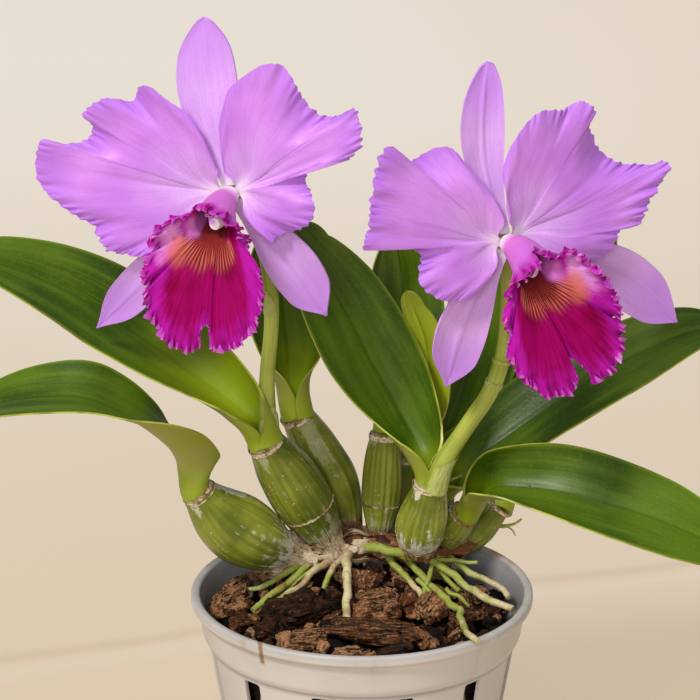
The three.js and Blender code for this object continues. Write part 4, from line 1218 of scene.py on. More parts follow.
# ------------------------------------------------------------------ pot and bark

CORNER_STEPS = 4


def rounded(corners, radius):
    """Corners of an outline with each turn rounded off, as (radius, height) pairs."""
    outline = [Vector(corners[0])]
    for before, here, after in zip(corners, corners[1:], corners[2:]):
        corner = Vector(here)
        into, out = Vector(before) - corner, Vector(after) - corner
        cut = min(radius, into.length * 0.45, out.length * 0.45)
        start, end = corner + into.normalized() * cut, corner + out.normalized() * cut
        for k in range(CORNER_STEPS + 1):
            f = k / CORNER_STEPS
            outline.append(start.lerp(corner, f).lerp(corner.lerp(end, f), f))
    outline.append(Vector(corners[-1]))
    return outline


def inner_radius(z, height):
    step = height - POT["collar_depth"]
    share = min(z, step) / step
    return between(POT["base_radius"], POT["body_top"], share) - POT["wall"]


def slot_turn(index, slots):
    return (index + 0.5) * 2 * math.pi / slots


class ORCHID_OT_pot(bpy.types.Operator):
    """Model the slotted pot: a lathed shell with a rolled lip, cut by rounded slots"""

    bl_idname = "orchid.pot"
    bl_label = "Pot"

    def execute(self, context):
        pot = context.scene.orchid_pot
        h, rim = pot.height / MM, pot.rim / MM
        step, wall = h - POT["collar_depth"], POT["wall"]
        corners = (
            (0, 0.6), (POT["base_radius"] - 6, 0.6), (POT["base_radius"] - 5, 0),
            (POT["base_radius"], 0), (POT["body_top"], step - POT["shoulder"]),
            (POT["collar_foot"], step + POT["shoulder"]), (POT["collar_top"], h - POT["lip_depth"] - 1),
            (rim, h - POT["lip_depth"]), (rim, h), (POT["collar_top"] - 0.4, h),
            (POT["collar_top"] - wall, h - POT["lip_depth"]),
            (POT["collar_foot"] - wall, step + POT["shoulder"]),
            (inner_radius(step, h), step - POT["shoulder"]),
            (inner_radius(POT["floor"], h), POT["floor"]), (0, POT["floor"]))
        outline = rounded(corners, 1.7)
        last = len(outline) - 1

        def place(s, t):
            r, z = outline[round(s * last)]
            return Vector((r * math.cos(math.pi * t), r * math.sin(math.pi * t), z))

        shell = lay_grid("pot_shell", 144, last, place)
        close_skin(shell)
        cutters = [self.slot_cutter(pot, k) for k in range(pot.slots)]
        cutter = joined("slot_cutter", cutters)
        apply_modifier(shell, "BOOLEAN", object=cutter, operation="DIFFERENCE", solver="EXACT")
        bpy.data.objects.remove(cutter)
        apply_modifier(shell, "BEVEL", width=0.35 * MM, segments=2, limit_method="ANGLE",
                       angle_limit=math.radians(50))
        dress(shell, "pot", pot_finish("pot_plastic", pot), nodes=("pot",), sharp=35)
        return {"FINISHED"}

    @staticmethod
    def slot_cutter(pot, index):
        turn, reach = slot_turn(index, pot.slots), SLOT["reach"] * MM
        tall = (SLOT["top"] - SLOT["foot"]) * MM
        deselect()
        bpy.ops.mesh.primitive_cube_add(
            size=1, rotation=(0, 0, turn), scale=(SLOT["depth"] * MM, pot.slot_width, tall),
            location=(reach * math.cos(turn), reach * math.sin(turn), SLOT["foot"] * MM + tall / 2))
        cutter = bpy.context.object
        bpy.ops.object.transform_apply(location=True, rotation=True, scale=True)
        apply_modifier(cutter, "BEVEL", width=SLOT["corner"] * MM, segments=4)
        return cutter


def heap_height(x, y, height):
    spread = math.hypot(x, y - BARK["heap_centre"]) / BARK["heap_radius"]
    return height - BARK["edge_depth"] + BARK["heap_rise"] * (1 - smooth(spread))


def spun(z, x=0.0, y=0.0):
    return Matrix.Rotation(z, 3, "Z") @ Matrix.Rotation(x, 3, "X") @ Matrix.Rotation(y, 3, "Y")


def break_chip(pattern, place, size, turn, seed, tone, strata=0.06):
    """A copy of the round pattern made into a chip: squared off, split along its layers and
    worn. It keeps its tone, and its own long grain to paint along."""
    chip = pattern.copy()
    chip.data = pattern.data.copy()
    bpy.context.collection.objects.link(chip)
    grain = []
    for vertex in chip.data.vertices:
        p = Vector([math.copysign(abs(c) ** 0.75, c) for c in vertex.co])
        lumps = noise.fractal(p * 1.1 + Vector((seed, 0, 0)), 0.8, 2.1, 4)
        layers = abs(wander(seed + 0.7 * p.x, 2.2 * p.y, 3 * p.z + seed))
        p *= 1 + 0.5 * lumps - strata * 2 * layers
        p = Vector((p.x * size[0], p.y * size[1], p.z * size[2]))
        grain.extend((p.x * 0.12 + seed, p.y * 0.9, p.z * 0.9))
        vertex.co = (turn @ p + place) * MM
    mark(chip, "tone", [tone] * len(chip.data.vertices))
    chip.data.attributes.new("grain", "FLOAT_VECTOR", "POINT").data.foreach_set("vector", grain)
    return chip


class ORCHID_OT_bark(bpy.types.Operator):
    """Fill the pot with bark: a bed, chips behind the slots and a heap of loose chips"""

    bl_idname = "orchid.bark"
    bl_label = "Bark"

    def execute(self, context):
        bark, pot = context.scene.orchid_bark, context.scene.orchid_pot
        h = pot.height / MM
        finish = bark_finish("bark_pieces", bark)
        edge, gap, foot = h - BARK["edge_depth"] - 8, BARK["bed_gap"], 4.5

        def bed_place(s, t):
            """Across the floor of the pot, then up its wall, then over the heap."""
            turn = math.pi * t
            if s < 0.15:
                r, z = inner_radius(5, h) * 0.97 * s / 0.15, foot
            elif s < 0.7:
                z = between(foot, edge, (s - 0.15) / 0.55)
                r = inner_radius(z, h) - gap
            else:
                share = (s - 0.7) / 0.3
                r = (inner_radius(edge, h) - gap) * (1 - share)
                z = heap_height(r * math.cos(turn), r * math.sin(turn), h) - BARK["bed_sunk"]
            r += 1.6 * wander(3 * math.cos(turn), 3 * math.sin(turn), 0.07 * z) * smooth(r, 0, 8)
            return Vector((r * math.cos(turn), r * math.sin(turn), z))

        # The bed carries no tone, so its finish paints it in the darkest bark colour, as painted shade
        # below the chips.
        bed = lay_grid("bark_bed", 96, 80, bed_place)
        close_skin(bed)
        dress(bed, "bark", finish, nodes=("potting_bark",))
        chips = joined("bark_chips", self.chips(bark, pot.slots, h))
        dress(chips, "bark", finish, sharp=40)
        return {"FINISHED"}

    @staticmethod
    def chips(bark, slots, height):
        draw = random.Random(7)
        patterns = []
        for subdivisions in (2, 3, 4):
            deselect()
            bpy.ops.mesh.primitive_ico_sphere_add(subdivisions=subdivisions, radius=1)
            patterns.append(bpy.context.object)
        coarse, middle, fine = patterns
        parts, taken = [], []
        for index, (place, half, wide, high, turn) in enumerate(BIG_CHIPS):
            spin = spun(math.radians(turn), 0.08 * (index % 3))
            parts.append(break_chip(fine, Vector(place), (half, wide, high), spin, 3.7 * index,
                                    BIG_CHIP_TONES[index % 4], 0.08))
            taken.append((place[0], place[1], (half + wide) / 2.3))
        for layer in ("top", "under"):
            for _ in range(bark.chips):
                half = between(*LOOSE_CHIPS["half"], draw.random() ** LOOSE_CHIPS["smallness"])
                limit = POT["collar_foot"] - POT["wall"] - half
                r, angle = limit * math.sqrt(draw.random()), draw.uniform(0, 2 * math.pi)
                x, y = r * math.cos(angle), r * math.sin(angle)
                tilt = LOOSE_CHIPS["tilt"]
                spin = spun(draw.uniform(0, 6.3), draw.gauss(0, tilt), draw.gauss(0, tilt))
                size = (half, half * draw.uniform(*LOOSE_CHIPS["width"]),
                        half * draw.uniform(*LOOSE_CHIPS["height"]))
                z = heap_height(x, y, height) - size[2] * 0.5 + draw.gauss(0, LOOSE_CHIPS["stray"])
                tone = draw.random()
                if layer == "under":
                    place = Vector((x, y, z - BARK["under_sunk"]))
                    # Chips of the under layer keep less tone, painted darker as shade between the top
                    # chips.
                    parts.append(break_chip(coarse, place, size, spin, 90 * tone, tone * 0.3))
                elif all(math.hypot(x - a, y - b) > BARK["crowding"] * (half + c) for a, b, c in taken):
                    taken.append((x, y, half))
                    parts.append(break_chip(middle, Vector((x, y, z)), size, spin, 90 * tone, tone))
        for slot in range(slots):
            for level in range(BARK["levels"]):
                share = (level + draw.random()) / BARK["levels"]
                z = between(SLOT["foot"] + 2, SLOT["top"] - 3, share)
                half, stray = draw.uniform(*SLOT_CHIPS["half"]), SLOT_CHIPS["stray"]
                r = inner_radius(z, height) - half * SLOT_CHIPS["inset"] - SLOT_CHIPS["gap"]
                angle = slot_turn(slot, slots) + draw.uniform(-stray, stray)
                spin = spun(angle, draw.uniform(0, 3))
                place = Vector((r * math.cos(angle), r * math.sin(angle), z))
                size = (half * SLOT_CHIPS["thickness"], half * SLOT_CHIPS["width"],
                        half * draw.uniform(*SLOT_CHIPS["height"]))
                seed, tone = draw.uniform(0, 90), draw.uniform(*SLOT_CHIPS["tone"])
                parts.append(break_chip(coarse, place, size, spin, seed, tone))
        for pattern in patterns:
            bpy.data.objects.remove(pattern)
        return parts


# ------------------------------------------------------------------ bulbs, roots and stalks


# Husks on the rhizome and scales round the bulbs' feet: the range of each one's length, of
# where it starts, its turn and span in degrees, its lift, its flare and how pointed it is.
HUSKS = {
    "count": 90, "start": (-0.04, 0.95), "stray": 0.02, "long": (0.07, 0.17), "backward": 0.45,
    "turn": (-60, 200), "span": (14, 46), "lift": (0.3, 1.5), "flare": (-0.6, 1.6),
    "point": (0.0, 0.35), "ragged": 0.012,
}
SCALES = {
    "start": (-0.14, -0.04), "stray": 16, "long": (0.1, 0.2), "span": (24, 60), "lift": (0.2, 0.9),
    "flare": (-0.3, 0.8), "point": (0.1, 0.45), "ragged": 0.012,
}


class ORCHID_OT_rhizome(bpy.types.Operator):
    """Model the creeping stem and the torn husks that cover it"""

    bl_idname = "orchid.rhizome"
    bl_label = "Rhizome"

    def execute(self, context):
        plant = context.scene.orchid_plant
        rod = rhizome_rod()
        stem = roll("rhizome_stem", rod, 28, 90)
        dress(stem, "rhizome", papery_finish("stem_skin", plant.husk_dark, plant.scar, 9.0, 0.46, 0.2),
              nodes=("rhizome",))
        draw = random.Random(11)
        husks = []
        for index in range(HUSKS["count"]):
            s = between(*HUSKS["start"], index / (HUSKS["count"] - 1))
            s += draw.uniform(-HUSKS["stray"], HUSKS["stray"])
            long = draw.uniform(*HUSKS["long"]) * (-1 if draw.random() < HUSKS["backward"] else 1)
            ways = [draw.uniform(*HUSKS[key]) for key in ("turn", "span", "lift", "flare")]
            husks.append(wrap(rod, s, s + long, *ways, HUSKS["ragged"], index * 2.3, (16, 6),
                              draw.uniform(*HUSKS["point"])))
        dress(joined("rhizome_husks", husks), "rhizome",
              papery_finish("husk_paper", plant.husk, plant.husk_dark, 10.0, 0.5, 0.14))
        return {"FINISHED"}


# Each bulb's finish: how much silvery film it keeps, how far up its foot is brown, and how
# much paler it is.
BULB_LOOKS = {
    "pseudobulb_1": (1.9, 0.05, 0.0), "pseudobulb_2": (1.0, 0.05, -0.08),
    "pseudobulb_3": (0.8, 0.28, 0.04), "pseudobulb_4": (0.8, 0.19, 0.12),
    "pseudobulb_5": (2.8, 0.05, 0.1), "pseudobulb_6": (0.35, 0.04, 0.04),
    "pseudobulb_7": (0.4, 0.05, 0.0), "pseudobulb_8": (0.4, 0.3, 0.0),
    "new_shoot": (0.2, 0.3, 0.0),
}

# Sheaths on the bulbs: bulb, start, end, middle turn, span, lift, flare, raggedness.
BULB_SHEATHS = (
    ("pseudobulb_1", 0.95, 0.98, 0, 350, 0.3, 0.5, 0.01),
    ("pseudobulb_1", 0.925, 0.935, 20, 330, 0.15, 0.2, 0.01),
    ("pseudobulb_1", -0.02, 0.13, 200, 300, 0.35, 0.7, 0.05),
    ("pseudobulb_2", 0.95, 0.985, 0, 350, 0.3, 0.4, 0.01),
    ("pseudobulb_2", 0.33, 0.345, 180, 340, 0.15, 0.2, 0.012),
    ("pseudobulb_2", -0.02, 0.1, 200, 300, 0.3, 0.6, 0.05),
    ("pseudobulb_3", 0.95, 0.985, 0, 350, 0.3, 0.4, 0.01),
    ("pseudobulb_4", 0.93, 0.98, 0, 350, 0.3, 0.4, 0.02),
    ("pseudobulb_4", 0.3, 0.32, 180, 350, 0.2, 0.3, 0.01),
    ("pseudobulb_5", 0.95, 0.99, 0, 355, 0.3, 0.4, 0.012),
    ("pseudobulb_5", -0.02, 0.11, 190, 320, 0.3, 0.6, 0.05),
    ("pseudobulb_6", 0.9, 0.97, 0, 350, 0.3, 0.5, 0.03),
    ("pseudobulb_6", 0.42, 0.46, 180, 340, 0.3, 0.4, 0.02),
    ("pseudobulb_7", 0.93, 0.98, 0, 350, 0.3, 0.4, 0.02),
    ("pseudobulb_8", 0.92, 0.98, 0, 350, 0.3, 0.4, 0.02),
    ("new_shoot", 0.9, 0.98, 0, 350, 0.3, 0.4, 0.03),
)


BULB_SCALES = {
    "pseudobulb_1": 14, "pseudobulb_2": 12, "pseudobulb_3": 6, "pseudobulb_4": 12,
    "pseudobulb_5": 8, "pseudobulb_6": 6,
}


class ORCHID_OT_bulbs(bpy.types.Operator):
    """Model the ribbed pseudobulbs with their collars and torn sheaths"""

    bl_idname = "orchid.bulbs"
    bl_label = "Pseudobulbs"

    def execute(self, context):
        plant = context.scene.orchid_plant
        rods = {name: bulb_rod(name) for name in BULBS}
        for name, rod in rods.items():
            bulb = roll(f"{name}_skin", rod, 72, 72)
            dress(bulb, "bulb", bulb_finish(f"{name}_skin", plant, *BULB_LOOKS[name]), nodes=(name,))
        collars = []
        for index, (name, *shape) in enumerate(BULB_SHEATHS):
            collars.append(wrap(rods[name], *shape, 5.1 * index, (56, 8)))
        dress(joined("bulb_collars", collars), "bulb",
              papery_finish("collar_paper", plant.husk, plant.husk_dark, 30.0, 0.5))
        dress(joined("bulb_scales", self.scales(rods)), "bulb",
              papery_finish("scale_paper", plant.husk, plant.husk_dark, 10.0, 0.54, 0.16))
        return {"FINISHED"}

    @staticmethod
    def scales(rods):
        """Narrow torn scales that stand round the feet of the front bulbs."""
        draw = random.Random(5)
        parts = []
        for name, count in BULB_SCALES.items():
            for index in range(count):
                turn = 360 * index / count + draw.uniform(-SCALES["stray"], SCALES["stray"])
                foot = draw.uniform(*SCALES["start"])
                top = foot + draw.uniform(*SCALES["long"])
                ways = [draw.uniform(*SCALES[key]) for key in ("span", "lift", "flare")]
                parts.append(wrap(rods[name], foot, top, turn, *ways, SCALES["ragged"], 9.1 * index,
                                  (12, 8), draw.uniform(*SCALES["point"])))
        return parts


class ORCHID_OT_roots(bpy.types.Operator):
    """Model the roots and the thin rootlets"""

    bl_idname = "orchid.roots"
    bl_label = "Roots"

    def execute(self, context):
        plant = context.scene.orchid_plant
        greens = sorted({look[2:] for look in ROOT_LOOKS.values()})
        finishes = {green: root_finish(f"root_skin_{index}", plant, *green)
                    for index, green in enumerate(greens)}
        for index, (name, path) in enumerate(ROOTS.items()):
            foot, tip, *green = ROOT_LOOKS[name]
            root = roll(f"{name}_skin", root_rod(path, foot, tip, 3.3 * index), 16, 30 + 8 * len(path))
            dress(root, "root", finishes[tuple(green)], nodes=(name,))
        rootlets = []
        for index, (path, foot, tip) in enumerate(ROOTLETS):
            rootlets.append(roll("rootlet", root_rod(path, foot, tip, 40 + index), 12, 26))
        dress(joined("rootlets", rootlets), "root", finishes[(0.9, 0.9)])
        return {"FINISHED"}


# Rings, scars and sheaths on the stalks: stalk, start, end, middle turn, span, lift, flare,
# raggedness and how pointed the end is.
STALK_SHEATHS = (
    ("flower_stalk_1", 0.0, 0.13, 300, 200, 0.3, 0.4, 0.01, 0.6),
    ("flower_stalk_1", 0.42, 0.5, 250, 120, 0.2, 0.3, 0.02, 0.7),
    ("flower_stalk_2", 0.01, 0.15, 20, 300, 0.35, 0.1, 0.01, 0.35),
    ("flower_stalk_2", 0.4, 0.415, 0, 345, 0.12, 0.2, 0.004, 0.0),
    ("flower_stalk_2", 0.475, 0.487, 0, 345, 0.12, 0.2, 0.004, 0.0),
)


class ORCHID_OT_stalks(bpy.types.Operator):
    """Model the flower stalks with their bracts, ending in the ovary behind each bloom"""

    bl_idname = "orchid.stalks"
    bl_label = "Flower stalks"

    def execute(self, context):
        plant = context.scene.orchid_plant
        rods = {name: stalk_rod(name) for name in STALKS}
        for name, rod in rods.items():
            stalk = roll(f"{name}_skin", rod, 28, 120)
            dress(stalk, "stalk", stalk_finish(f"{name}_skin", plant), nodes=(name,))
        bracts = []
        for index, (name, *shape, point) in enumerate(STALK_SHEATHS):
            bracts.append(wrap(rods[name], *shape, 3.9 * index, (40, 10), point))
        dress(joined("stalk_bracts", bracts), "stalk",
              papery_finish("bract_paper", plant.bract, plant.stalk_light, 24.0, 0.5))
        return {"FINISHED"}


# ------------------------------------------------------------------ leaves


def leaf_surface(leaf, half_width):
    """A channelled blade with a keel, its foot rolled into an overlapping tube."""
    path = Path(leaf["path"])
    face = Vector(leaf["face"]).normalized()
    foot_face = Vector(leaf.get("foot_face", leaf["face"])).normalized()
    tube_top = leaf["tube_top"] / path.length

    @lru_cache(maxsize=None)
    def section(s):
        along = path.tangent(s)
        across = along.cross(foot_face.lerp(face, smooth(s * 2))).normalized()
        half = half_width * profile(LEAF_WIDTHS, min(s, LEAF["tip"]))
        if s > LEAF["tip"]:
            half *= math.sqrt(max(0.0, 1 - ((s - LEAF["tip"]) / 0.1) ** 2))
        rolled = 1 - smooth(s, 0.2 * tube_top, 1.8 * tube_top)
        curl = between(leaf.get("opening", 1) * profile(LEAF_CURLS, s), LEAF["roll"], rolled)
        half = between(half, math.radians(LEAF["roll"]) * leaf["tube"], rolled)
        fold = math.tan(math.radians(profile(LEAF_FOLDS, s))) * (1 - rolled)
        return path.at(s), across, across.cross(along), half, math.radians(curl), fold, rolled

    def place(s, t):
        middle, across, up, half, curl, fold, rolled = section(round(s, 6))
        radius = half / curl * (1 + 0.12 * rolled * t)
        side, height = radius * math.sin(curl * t), radius * (1 - math.cos(curl * t)) - radius * rolled
        height += fold * half * (math.hypot(t, LEAF["keel"]) - LEAF["keel"])
        height += 0.03 * half * t * t * math.sin(11 * s + 2 * t)
        height -= 0.5 * math.exp(-((t / 0.05) ** 2)) * smooth(s, 0.1, 0.3)
        return middle + across * side + up * height

    return place


class ORCHID_OT_leaves(bpy.types.Operator):
    """Model the strap leaves, each with a glossy face, a dull back and a pale margin"""

    bl_idname = "orchid.leaves"
    bl_label = "Leaves"

    def execute(self, context):
        plant = context.scene.orchid_plant
        face = leaf_finish("leaf_face", plant.leaf, plant.leaf_light, plant.leaf_foot)
        back = leaf_finish("leaf_back", plant.leaf_back, plant.bulb_light, plant.leaf_foot, 0.5, 0.2)
        fresh = leaf_finish("fresh_leaf_face", plant.leaf, plant.leaf_light, plant.leaf_foot, 0.36, 0.5)
        young = leaf_finish("young_leaf_face", plant.young, plant.leaf_foot, plant.leaf_margin)
        margin = edge_finish("leaf_margin", plant.leaf_margin)
        rows, columns = LEAF["rows"], LEAF["columns"]
        for name, leaf in LEAVES.items():
            blade = lay_grid(f"{name}_blade", columns, rows, leaf_surface(leaf, leaf["half_width"]))

            def weight(index):
                s = (index // (columns + 1)) / rows
                t = abs(2 * (index % (columns + 1)) / columns - 1)
                return between(1.0, 0.55, smooth(s, 0, 0.25)) * between(1, 0.55, smooth(t, 0.5, 1))

            slot = "leaf"
            finishes = (fresh if leaf.get("fresh") else face, back, margin)
            if name == "young_leaf":
                slot, finishes = name, (young, young, margin)
            coat(blade, *finishes)
            thicken(blade, LEAF["thickness"], back=1, rim=2, weight=weight)
            dress(blade, slot, nodes=(name,), sharp=50)
        return {"FINISHED"}


# ------------------------------------------------------------------ blooms


def petal_surface(bloom, petal, frill_depth, seed):
    """A dished blade: gentle inside, following each bend of its outline only near its margin."""
    matrix = bloom_matrix(bloom)
    margin = Path([(r * math.cos(math.radians(a)), r * math.sin(math.radians(a)), depth)
                   for a, r, depth in petal["outline"]])
    axis = math.radians(petal["axis"])

    @lru_cache(maxsize=None)
    def edge(share):
        point = margin.at(share)
        turn = math.atan2(point.y, point.x) - axis
        turn = (turn + math.pi) % (2 * math.pi) - math.pi
        arc = share * margin.length
        frill = profile(petal["frill"], share) * frill_depth
        calm = sum(margin.at(share + 0.04 * k).z for k in range(-5, 6)) / 11
        return turn, math.hypot(point.x, point.y), point.z, calm, arc, frill

    def place(s, t):
        turn, reach, depth, calm, arc, frill = edge(round((t + 1) / 2, 6))
        s = crowd(s)
        inset = (reach - RING["radius"]) * (1 - s)
        wide, near, last = 1 - smooth(inset, 2, 19), 1 - smooth(inset, 1, 9), 1 - smooth(inset, 0.3, 4)
        swell = 0.45 + 1.5 * wander(arc / 11, seed, 2)
        ripple = wide * 0.8 * swell * math.sin(arc / 2.2 + 3 * wander(arc / 14, seed, 0) + 0.05 * inset)
        phase = arc / 0.85 + 5 * wander(arc / 9, seed, 3) + 0.1 * inset
        curl = near * 0.6 * (0.9 + 1.3 * wander(arc / 6, seed, 4)) * math.sin(phase)
        crimp = last * 0.3 * math.sin(arc / 0.4 + 4 * wander(arc / 3, seed, 6))
        torn = 0.8 * wander(arc / 1.2, seed, 7) + 0.5 * wander(arc / 4, seed, 8)
        jagged = 0.5 * math.cos(phase) + torn
        r = between(RING["radius"], reach + last * frill * jagged, s)
        angle = axis + turn * (1 - PETAL["claw"] * (1 - smooth(s * 2.2)))
        dish = PETAL["dish"] * math.sin(math.pi * min(1, s * 0.8)) * smooth(s * 3)
        body = 1.6 * smooth(s, 0.15, 0.8) * wander(1.4 * s + seed, 1.3 * t, seed)
        crease = -0.6 * math.exp(-((turn / 0.05) ** 2)) * smooth(s, 0.05, 0.3) * (1 - smooth(s, 0.6, 1))
        bend = calm * smooth(s, 0.35, 1) + 0.75 * (depth - calm) * (1 - smooth(inset, 0, 20))
        z = RING["petal"] + dish + bend + body + crease + frill * (ripple + curl + crimp)
        return matrix @ Vector((r * math.cos(angle), r * math.sin(angle), z))

    return place


class ORCHID_OT_petals(bpy.types.Operator):
    """Model the broad frilled petals"""

    bl_idname = "orchid.petals"
    bl_label = "Petals"

    def execute(self, context):
        blooms = context.scene.orchid_blooms
        finish = petal_finish("petal_tissue", blooms, 60.0, 0.2)
        for name, bloom in BLOOMS.items():
            for side, petal in bloom["petals"].items():
                seed = len(petal["outline"]) * 1.7
                surface = petal_surface(name, petal, blooms.frill / MM, seed)
                blade = lay_blade(f"{name}_petal_{side}_blade", PETAL, surface, finish)
                dress(blade, "petal", nodes=(f"{name}_petal_{side}",), sharp=60)
        return {"FINISHED"}


def sepal_surface(bloom, sepal, seed):
    matrix = bloom_matrix(bloom)
    angle = math.radians(sepal["angle"])
    along = Vector((math.cos(angle), math.sin(angle), 0))
    across = Vector((-math.sin(angle), math.cos(angle), 0))

    def place(s, t):
        tip = max(0.0, (s - 0.78) / 0.22)
        half = sepal["half_width"] * profile(SEPAL_WIDTHS, s) * max(0.0, 1 - tip ** 2) ** sepal["point"]
        side = sepal["bow"] * math.sin(math.pi * s) + half * t
        depth = RING["sepal"] - sepal["lean"] * s * s - SEPAL["set_back"] * smooth(s * 4)
        depth += SEPAL["cup"] * half * t * t
        depth += 0.7 * math.exp(-((t / 0.09) ** 2)) * smooth(s, 0.05, 0.4) * (1 - smooth(s, 0.8, 1))
        depth += 0.8 * wander(seed, 3 * s, 1.2 * t) * smooth(s, 0.1, 0.5)
        point = along * (RING["radius"] + sepal["length"] * s) + across * side
        point.z = depth
        return matrix @ point

    return place


class ORCHID_OT_sepals(bpy.types.Operator):
    """Model the pointed sepals behind the petals"""

    bl_idname = "orchid.sepals"
    bl_label = "Sepals"

    def execute(self, context):
        blooms = context.scene.orchid_blooms
        finish = petal_finish("sepal_tissue", blooms, 22.0, 0.12, 0.25, 0.24)
        for name, bloom in BLOOMS.items():
            for index, (side, sepal) in enumerate(bloom["sepals"].items()):
                surface = sepal_surface(name, sepal, 3.1 * index + len(name))
                blade = lay_blade(f"{name}_sepal_{side}_blade", SEPAL, surface, finish)
                dress(blade, "sepal", nodes=(f"{name}_sepal_{side}",), sharp=60)
        return {"FINISHED"}


def crowd(share):
    """Spaces rows more closely towards a blade's margin."""
    return 1 - (1 - share) ** MARGIN_CROWDING


def lip_surface(bloom, lip, seed, crests):
    """A tube that opens into a blade, with broad folds, a wavy rim and a curled lacy hem. Each
    point's place on the crests of the hem is added to crests."""
    matrix = bloom_matrix(bloom)
    tube = Path(lip["tube"])
    left, right = Path(lip["left"]), Path(lip["right"])

    def ring(share, turn):
        radius = profile(TUBE_RADII, share)
        return tube.at(share) + Vector((radius * math.cos(turn), radius * math.sin(turn), 0))

    @lru_cache(maxsize=None)
    def meridian(t):
        """Mouth, bend and margin of the blade at t, and how its ruffle lies and swings there."""
        turn = math.radians(-90 + 180 * math.copysign(0.6 * abs(t) + 0.4 * abs(t) ** 8, t))
        mouth = ring(1, turn)
        outwards = Vector((math.cos(turn), math.sin(turn), 0))
        side, share = (left, 1 + t) if t < 0 else (right, t)
        margin = side.at(share)
        arc = t * (left.length if t < 0 else right.length)
        front = smooth(1 - abs(t), 0.25, 0.65)
        bend = mouth.lerp(margin, 0.3) + Vector((0, 0, between(2.5, 9, front))) + outwards * (1 - front)
        away = (margin - bend).normalized()
        face = away.cross(Vector((-outwards.y, outwards.x, 0))).normalized()
        free = smooth(side.tangent(share).cross(away).length, 0.2, 0.85) * smooth(abs(t), 0, 0.06)
        return turn, mouth, bend, margin, away, face.cross(away), face, arc, front, free

    def place(s, t):
        turn, mouth, bend, margin, away, beside, face, arc, front, free = meridian(round(t, 6))
        if s <= LIP["mouth"]:
            crests.append(0)
            return matrix @ ring(s / LIP["mouth"], turn)
        f = crowd((s - LIP["mouth"]) / (1 - LIP["mouth"]))
        point = mouth * (1 - f) ** 2 + bend * (2 * f * (1 - f)) + margin * f * f
        inset = 2 * (margin - bend).length * (1 - f)
        rim, hem, lace = (free * (1 - smooth(inset, *reach)) for reach in LIP["reaches"])
        folds = front * (1.6 * f * f * math.sin(15 * t + seed) + 2.6 * smooth(f, 0.1, 0.6)
                         * wander(4.5 * t, 1.2 * f, seed))
        crease = -0.8 * math.exp(-((t / 0.07) ** 2)) * smooth(f, 0.1, 0.4) * (1 - smooth(f, 0.7, 0.95))
        loose = 0.8 + 1.1 * wander(arc / 9, seed, 1)
        swell = max(0.1, 0.85 + 2.0 * wander(arc / 4, seed, 2))
        sweep = arc / 1.8 + 3 * wander(arc / 15, seed, 4)
        phase = arc / 0.54 + 8 * wander(arc / 7, seed, 0) + 0.12 * inset
        small = arc / 0.4 + 4 * wander(arc / 3, seed, 5)
        point += face * (folds + crease + rim * 1.5 * loose * math.sin(sweep))
        point += face * (hem * 1.8 * swell * math.sin(phase) + lace * 0.7 * math.sin(small))
        point += beside * (hem * 1.1 * swell * math.sin(2 * phase) + lace * 0.4 * math.sin(2 * small))
        crests.append(hem * (0.8 * math.sin(phase) + 0.3 * math.sin(small)))
        torn = wander(arc / 1.2, seed, 9) + 0.7 * wander(arc / 3.2, seed, 3)
        ragged = 0.4 * math.cos(small) + torn
        point += away * (hem * 0.4 * swell * math.cos(phase) + lace * ragged)
        return matrix @ point

    return place


class ORCHID_OT_lips(bpy.types.Operator):
    """Model the lips: a tube round the column that opens into a ruffled front"""

    bl_idname = "orchid.lips"
    bl_label = "Lips"

    def execute(self, context):
        blooms = context.scene.orchid_blooms
        outside = lip_back_finish("lip_back", blooms)
        for index, (name, bloom) in enumerate(BLOOMS.items()):
            face = lip_finish(f"{name}_lip_face", blooms, bloom["lip"]["hand"])
            crests = []
            surface = lip_surface(name, bloom["lip"], 4.0 + index, crests)
            blade = lay_blade(f"{name}_lip_blade", LIP, surface, face, outside, back=1, crest=crests)
            dress(blade, "lip", nodes=(f"{name}_lip",), sharp=70)
        return {"FINISHED"}


class ORCHID_OT_columns(bpy.types.Operator):
    """Model the white columns inside the lips"""

    bl_idname = "orchid.columns"
    bl_label = "Columns"

    def execute(self, context):
        finish = column_finish("column_wax", context.scene.orchid_blooms)
        for name, bloom in BLOOMS.items():
            matrix = bloom_matrix(name)
            foot = Vector((0, 0, KNOB["top"] + 0.3))
            tip = Vector(bloom["lip"]["column_tip"])
            path = (foot, foot + Vector((0, 0, 1.5)), foot.lerp(tip, 0.5), tip)
            rod = Rod([matrix @ point for point in path],
                      lambda s, turn: profile(COLUMN_RADII, s) + 0.3 * math.cos(2 * turn) * smooth(s))
            column = roll(f"{name}_column_body", rod, 28, 40)
            dress(column, "column", finish, nodes=(f"{name}_column",))
        return {"FINISHED"}


# ------------------------------------------------------------------ stage


# The sun's tilt, turn and spread in degrees, and its colour.
SUN = {"tilt": 42, "turn": -38, "spread": 10, "colour": shade(255, 250, 242)}

# Soft boxes, in metres: place, size, the setting that holds its power, and whether it shines
# in glossy faces.
SOFT_BOXES = (
    ((-0.3, -1.9, 0.95), 0.8, "fill_power", False),
    ((-0.1, -0.2, 1.55), 0.4, "top_power", True),
)
LIGHT_AIM = Vector((0, 0, 0.25))


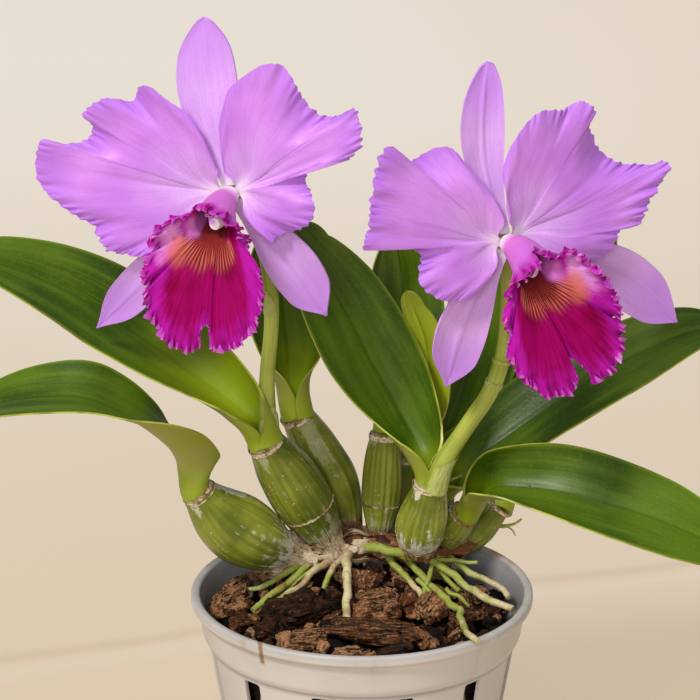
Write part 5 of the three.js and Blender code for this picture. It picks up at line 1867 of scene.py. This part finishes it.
class ORCHID_OT_stage(bpy.types.Operator):
    """Set the camera, the pale floor and the soft light"""

    bl_idname = "orchid.stage"
    bl_label = "Stage"

    def execute(self, context):
        scene, stage = context.scene, context.scene.orchid_stage
        deselect()
        bpy.ops.object.camera_add(location=(-stage.aside, -stage.distance, stage.eye_height),
                                  rotation=(math.pi / 2 - stage.tilt, 0, 0))
        scene.camera = context.object
        scene.camera.data.lens = stage.lens
        scene.camera.data.clip_end = 50
        bpy.ops.mesh.primitive_plane_add(size=14)
        floor = context.object
        floor.name = "floor"
        coat(floor, floor_finish("floor_card", stage))
        bpy.ops.object.light_add(
            type="SUN", rotation=(math.radians(SUN["tilt"]), 0, math.radians(SUN["turn"])))
        context.object.data.energy = stage.key_power
        context.object.data.angle = math.radians(SUN["spread"])
        context.object.data.color = linear(SUN["colour"])
        for place, size, power, glossy in SOFT_BOXES:
            bpy.ops.object.light_add(type="AREA", location=place)
            box = context.object
            box.rotation_euler = (LIGHT_AIM - box.location).to_track_quat("-Z", "Y").to_euler()
            box.data.energy = getattr(stage, power)
            box.data.size = size
            box.visible_glossy = glossy
        world = bpy.data.worlds.new("daylight")
        world.use_nodes = True
        sky = world.node_tree.nodes["Background"]
        sky.inputs["Color"].default_value = (*linear(stage.daylight), 1)
        sky.inputs["Strength"].default_value = stage.daylight_power
        scene.world = world
        scene.view_settings.view_transform = "Standard"
        return {"FINISHED"}


class ORCHID_PT_panel(bpy.types.Panel):
    """Buttons for the pieces of the orchid"""

    bl_idname = "ORCHID_PT_panel"
    bl_label = "Potted Orchid"
    bl_space_type = "VIEW_3D"
    bl_region_type = "UI"
    bl_category = "Orchid"

    def draw(self, context):
        for operator in OPERATORS:
            self.layout.operator(operator.bl_idname)


SETTINGS = {
    "orchid_pot": OrchidPotSettings,
    "orchid_bark": OrchidBarkSettings,
    "orchid_plant": OrchidPlantSettings,
    "orchid_blooms": OrchidBloomSettings,
    "orchid_stage": OrchidStageSettings,
}

OPERATORS = (
    ORCHID_OT_stage,
    ORCHID_OT_pot,
    ORCHID_OT_bark,
    ORCHID_OT_rhizome,
    ORCHID_OT_bulbs,
    ORCHID_OT_roots,
    ORCHID_OT_stalks,
    ORCHID_OT_leaves,
    ORCHID_OT_sepals,
    ORCHID_OT_petals,
    ORCHID_OT_lips,
    ORCHID_OT_columns,
)


def register():
    for kind in (*SETTINGS.values(), *OPERATORS, ORCHID_PT_panel):
        bpy.utils.register_class(kind)
    for name, kind in SETTINGS.items():
        setattr(bpy.types.Scene, name, bpy.props.PointerProperty(type=kind))


def unregister():
    for name in SETTINGS:
        delattr(bpy.types.Scene, name)
    for kind in (ORCHID_PT_panel, *reversed(OPERATORS), *reversed(tuple(SETTINGS.values()))):
        bpy.utils.unregister_class(kind)


def main():
    register()
    for operator in OPERATORS:
        group, action = operator.bl_idname.split(".")
        getattr(getattr(bpy.ops, group), action)()


if __name__ == "__main__":
    main()
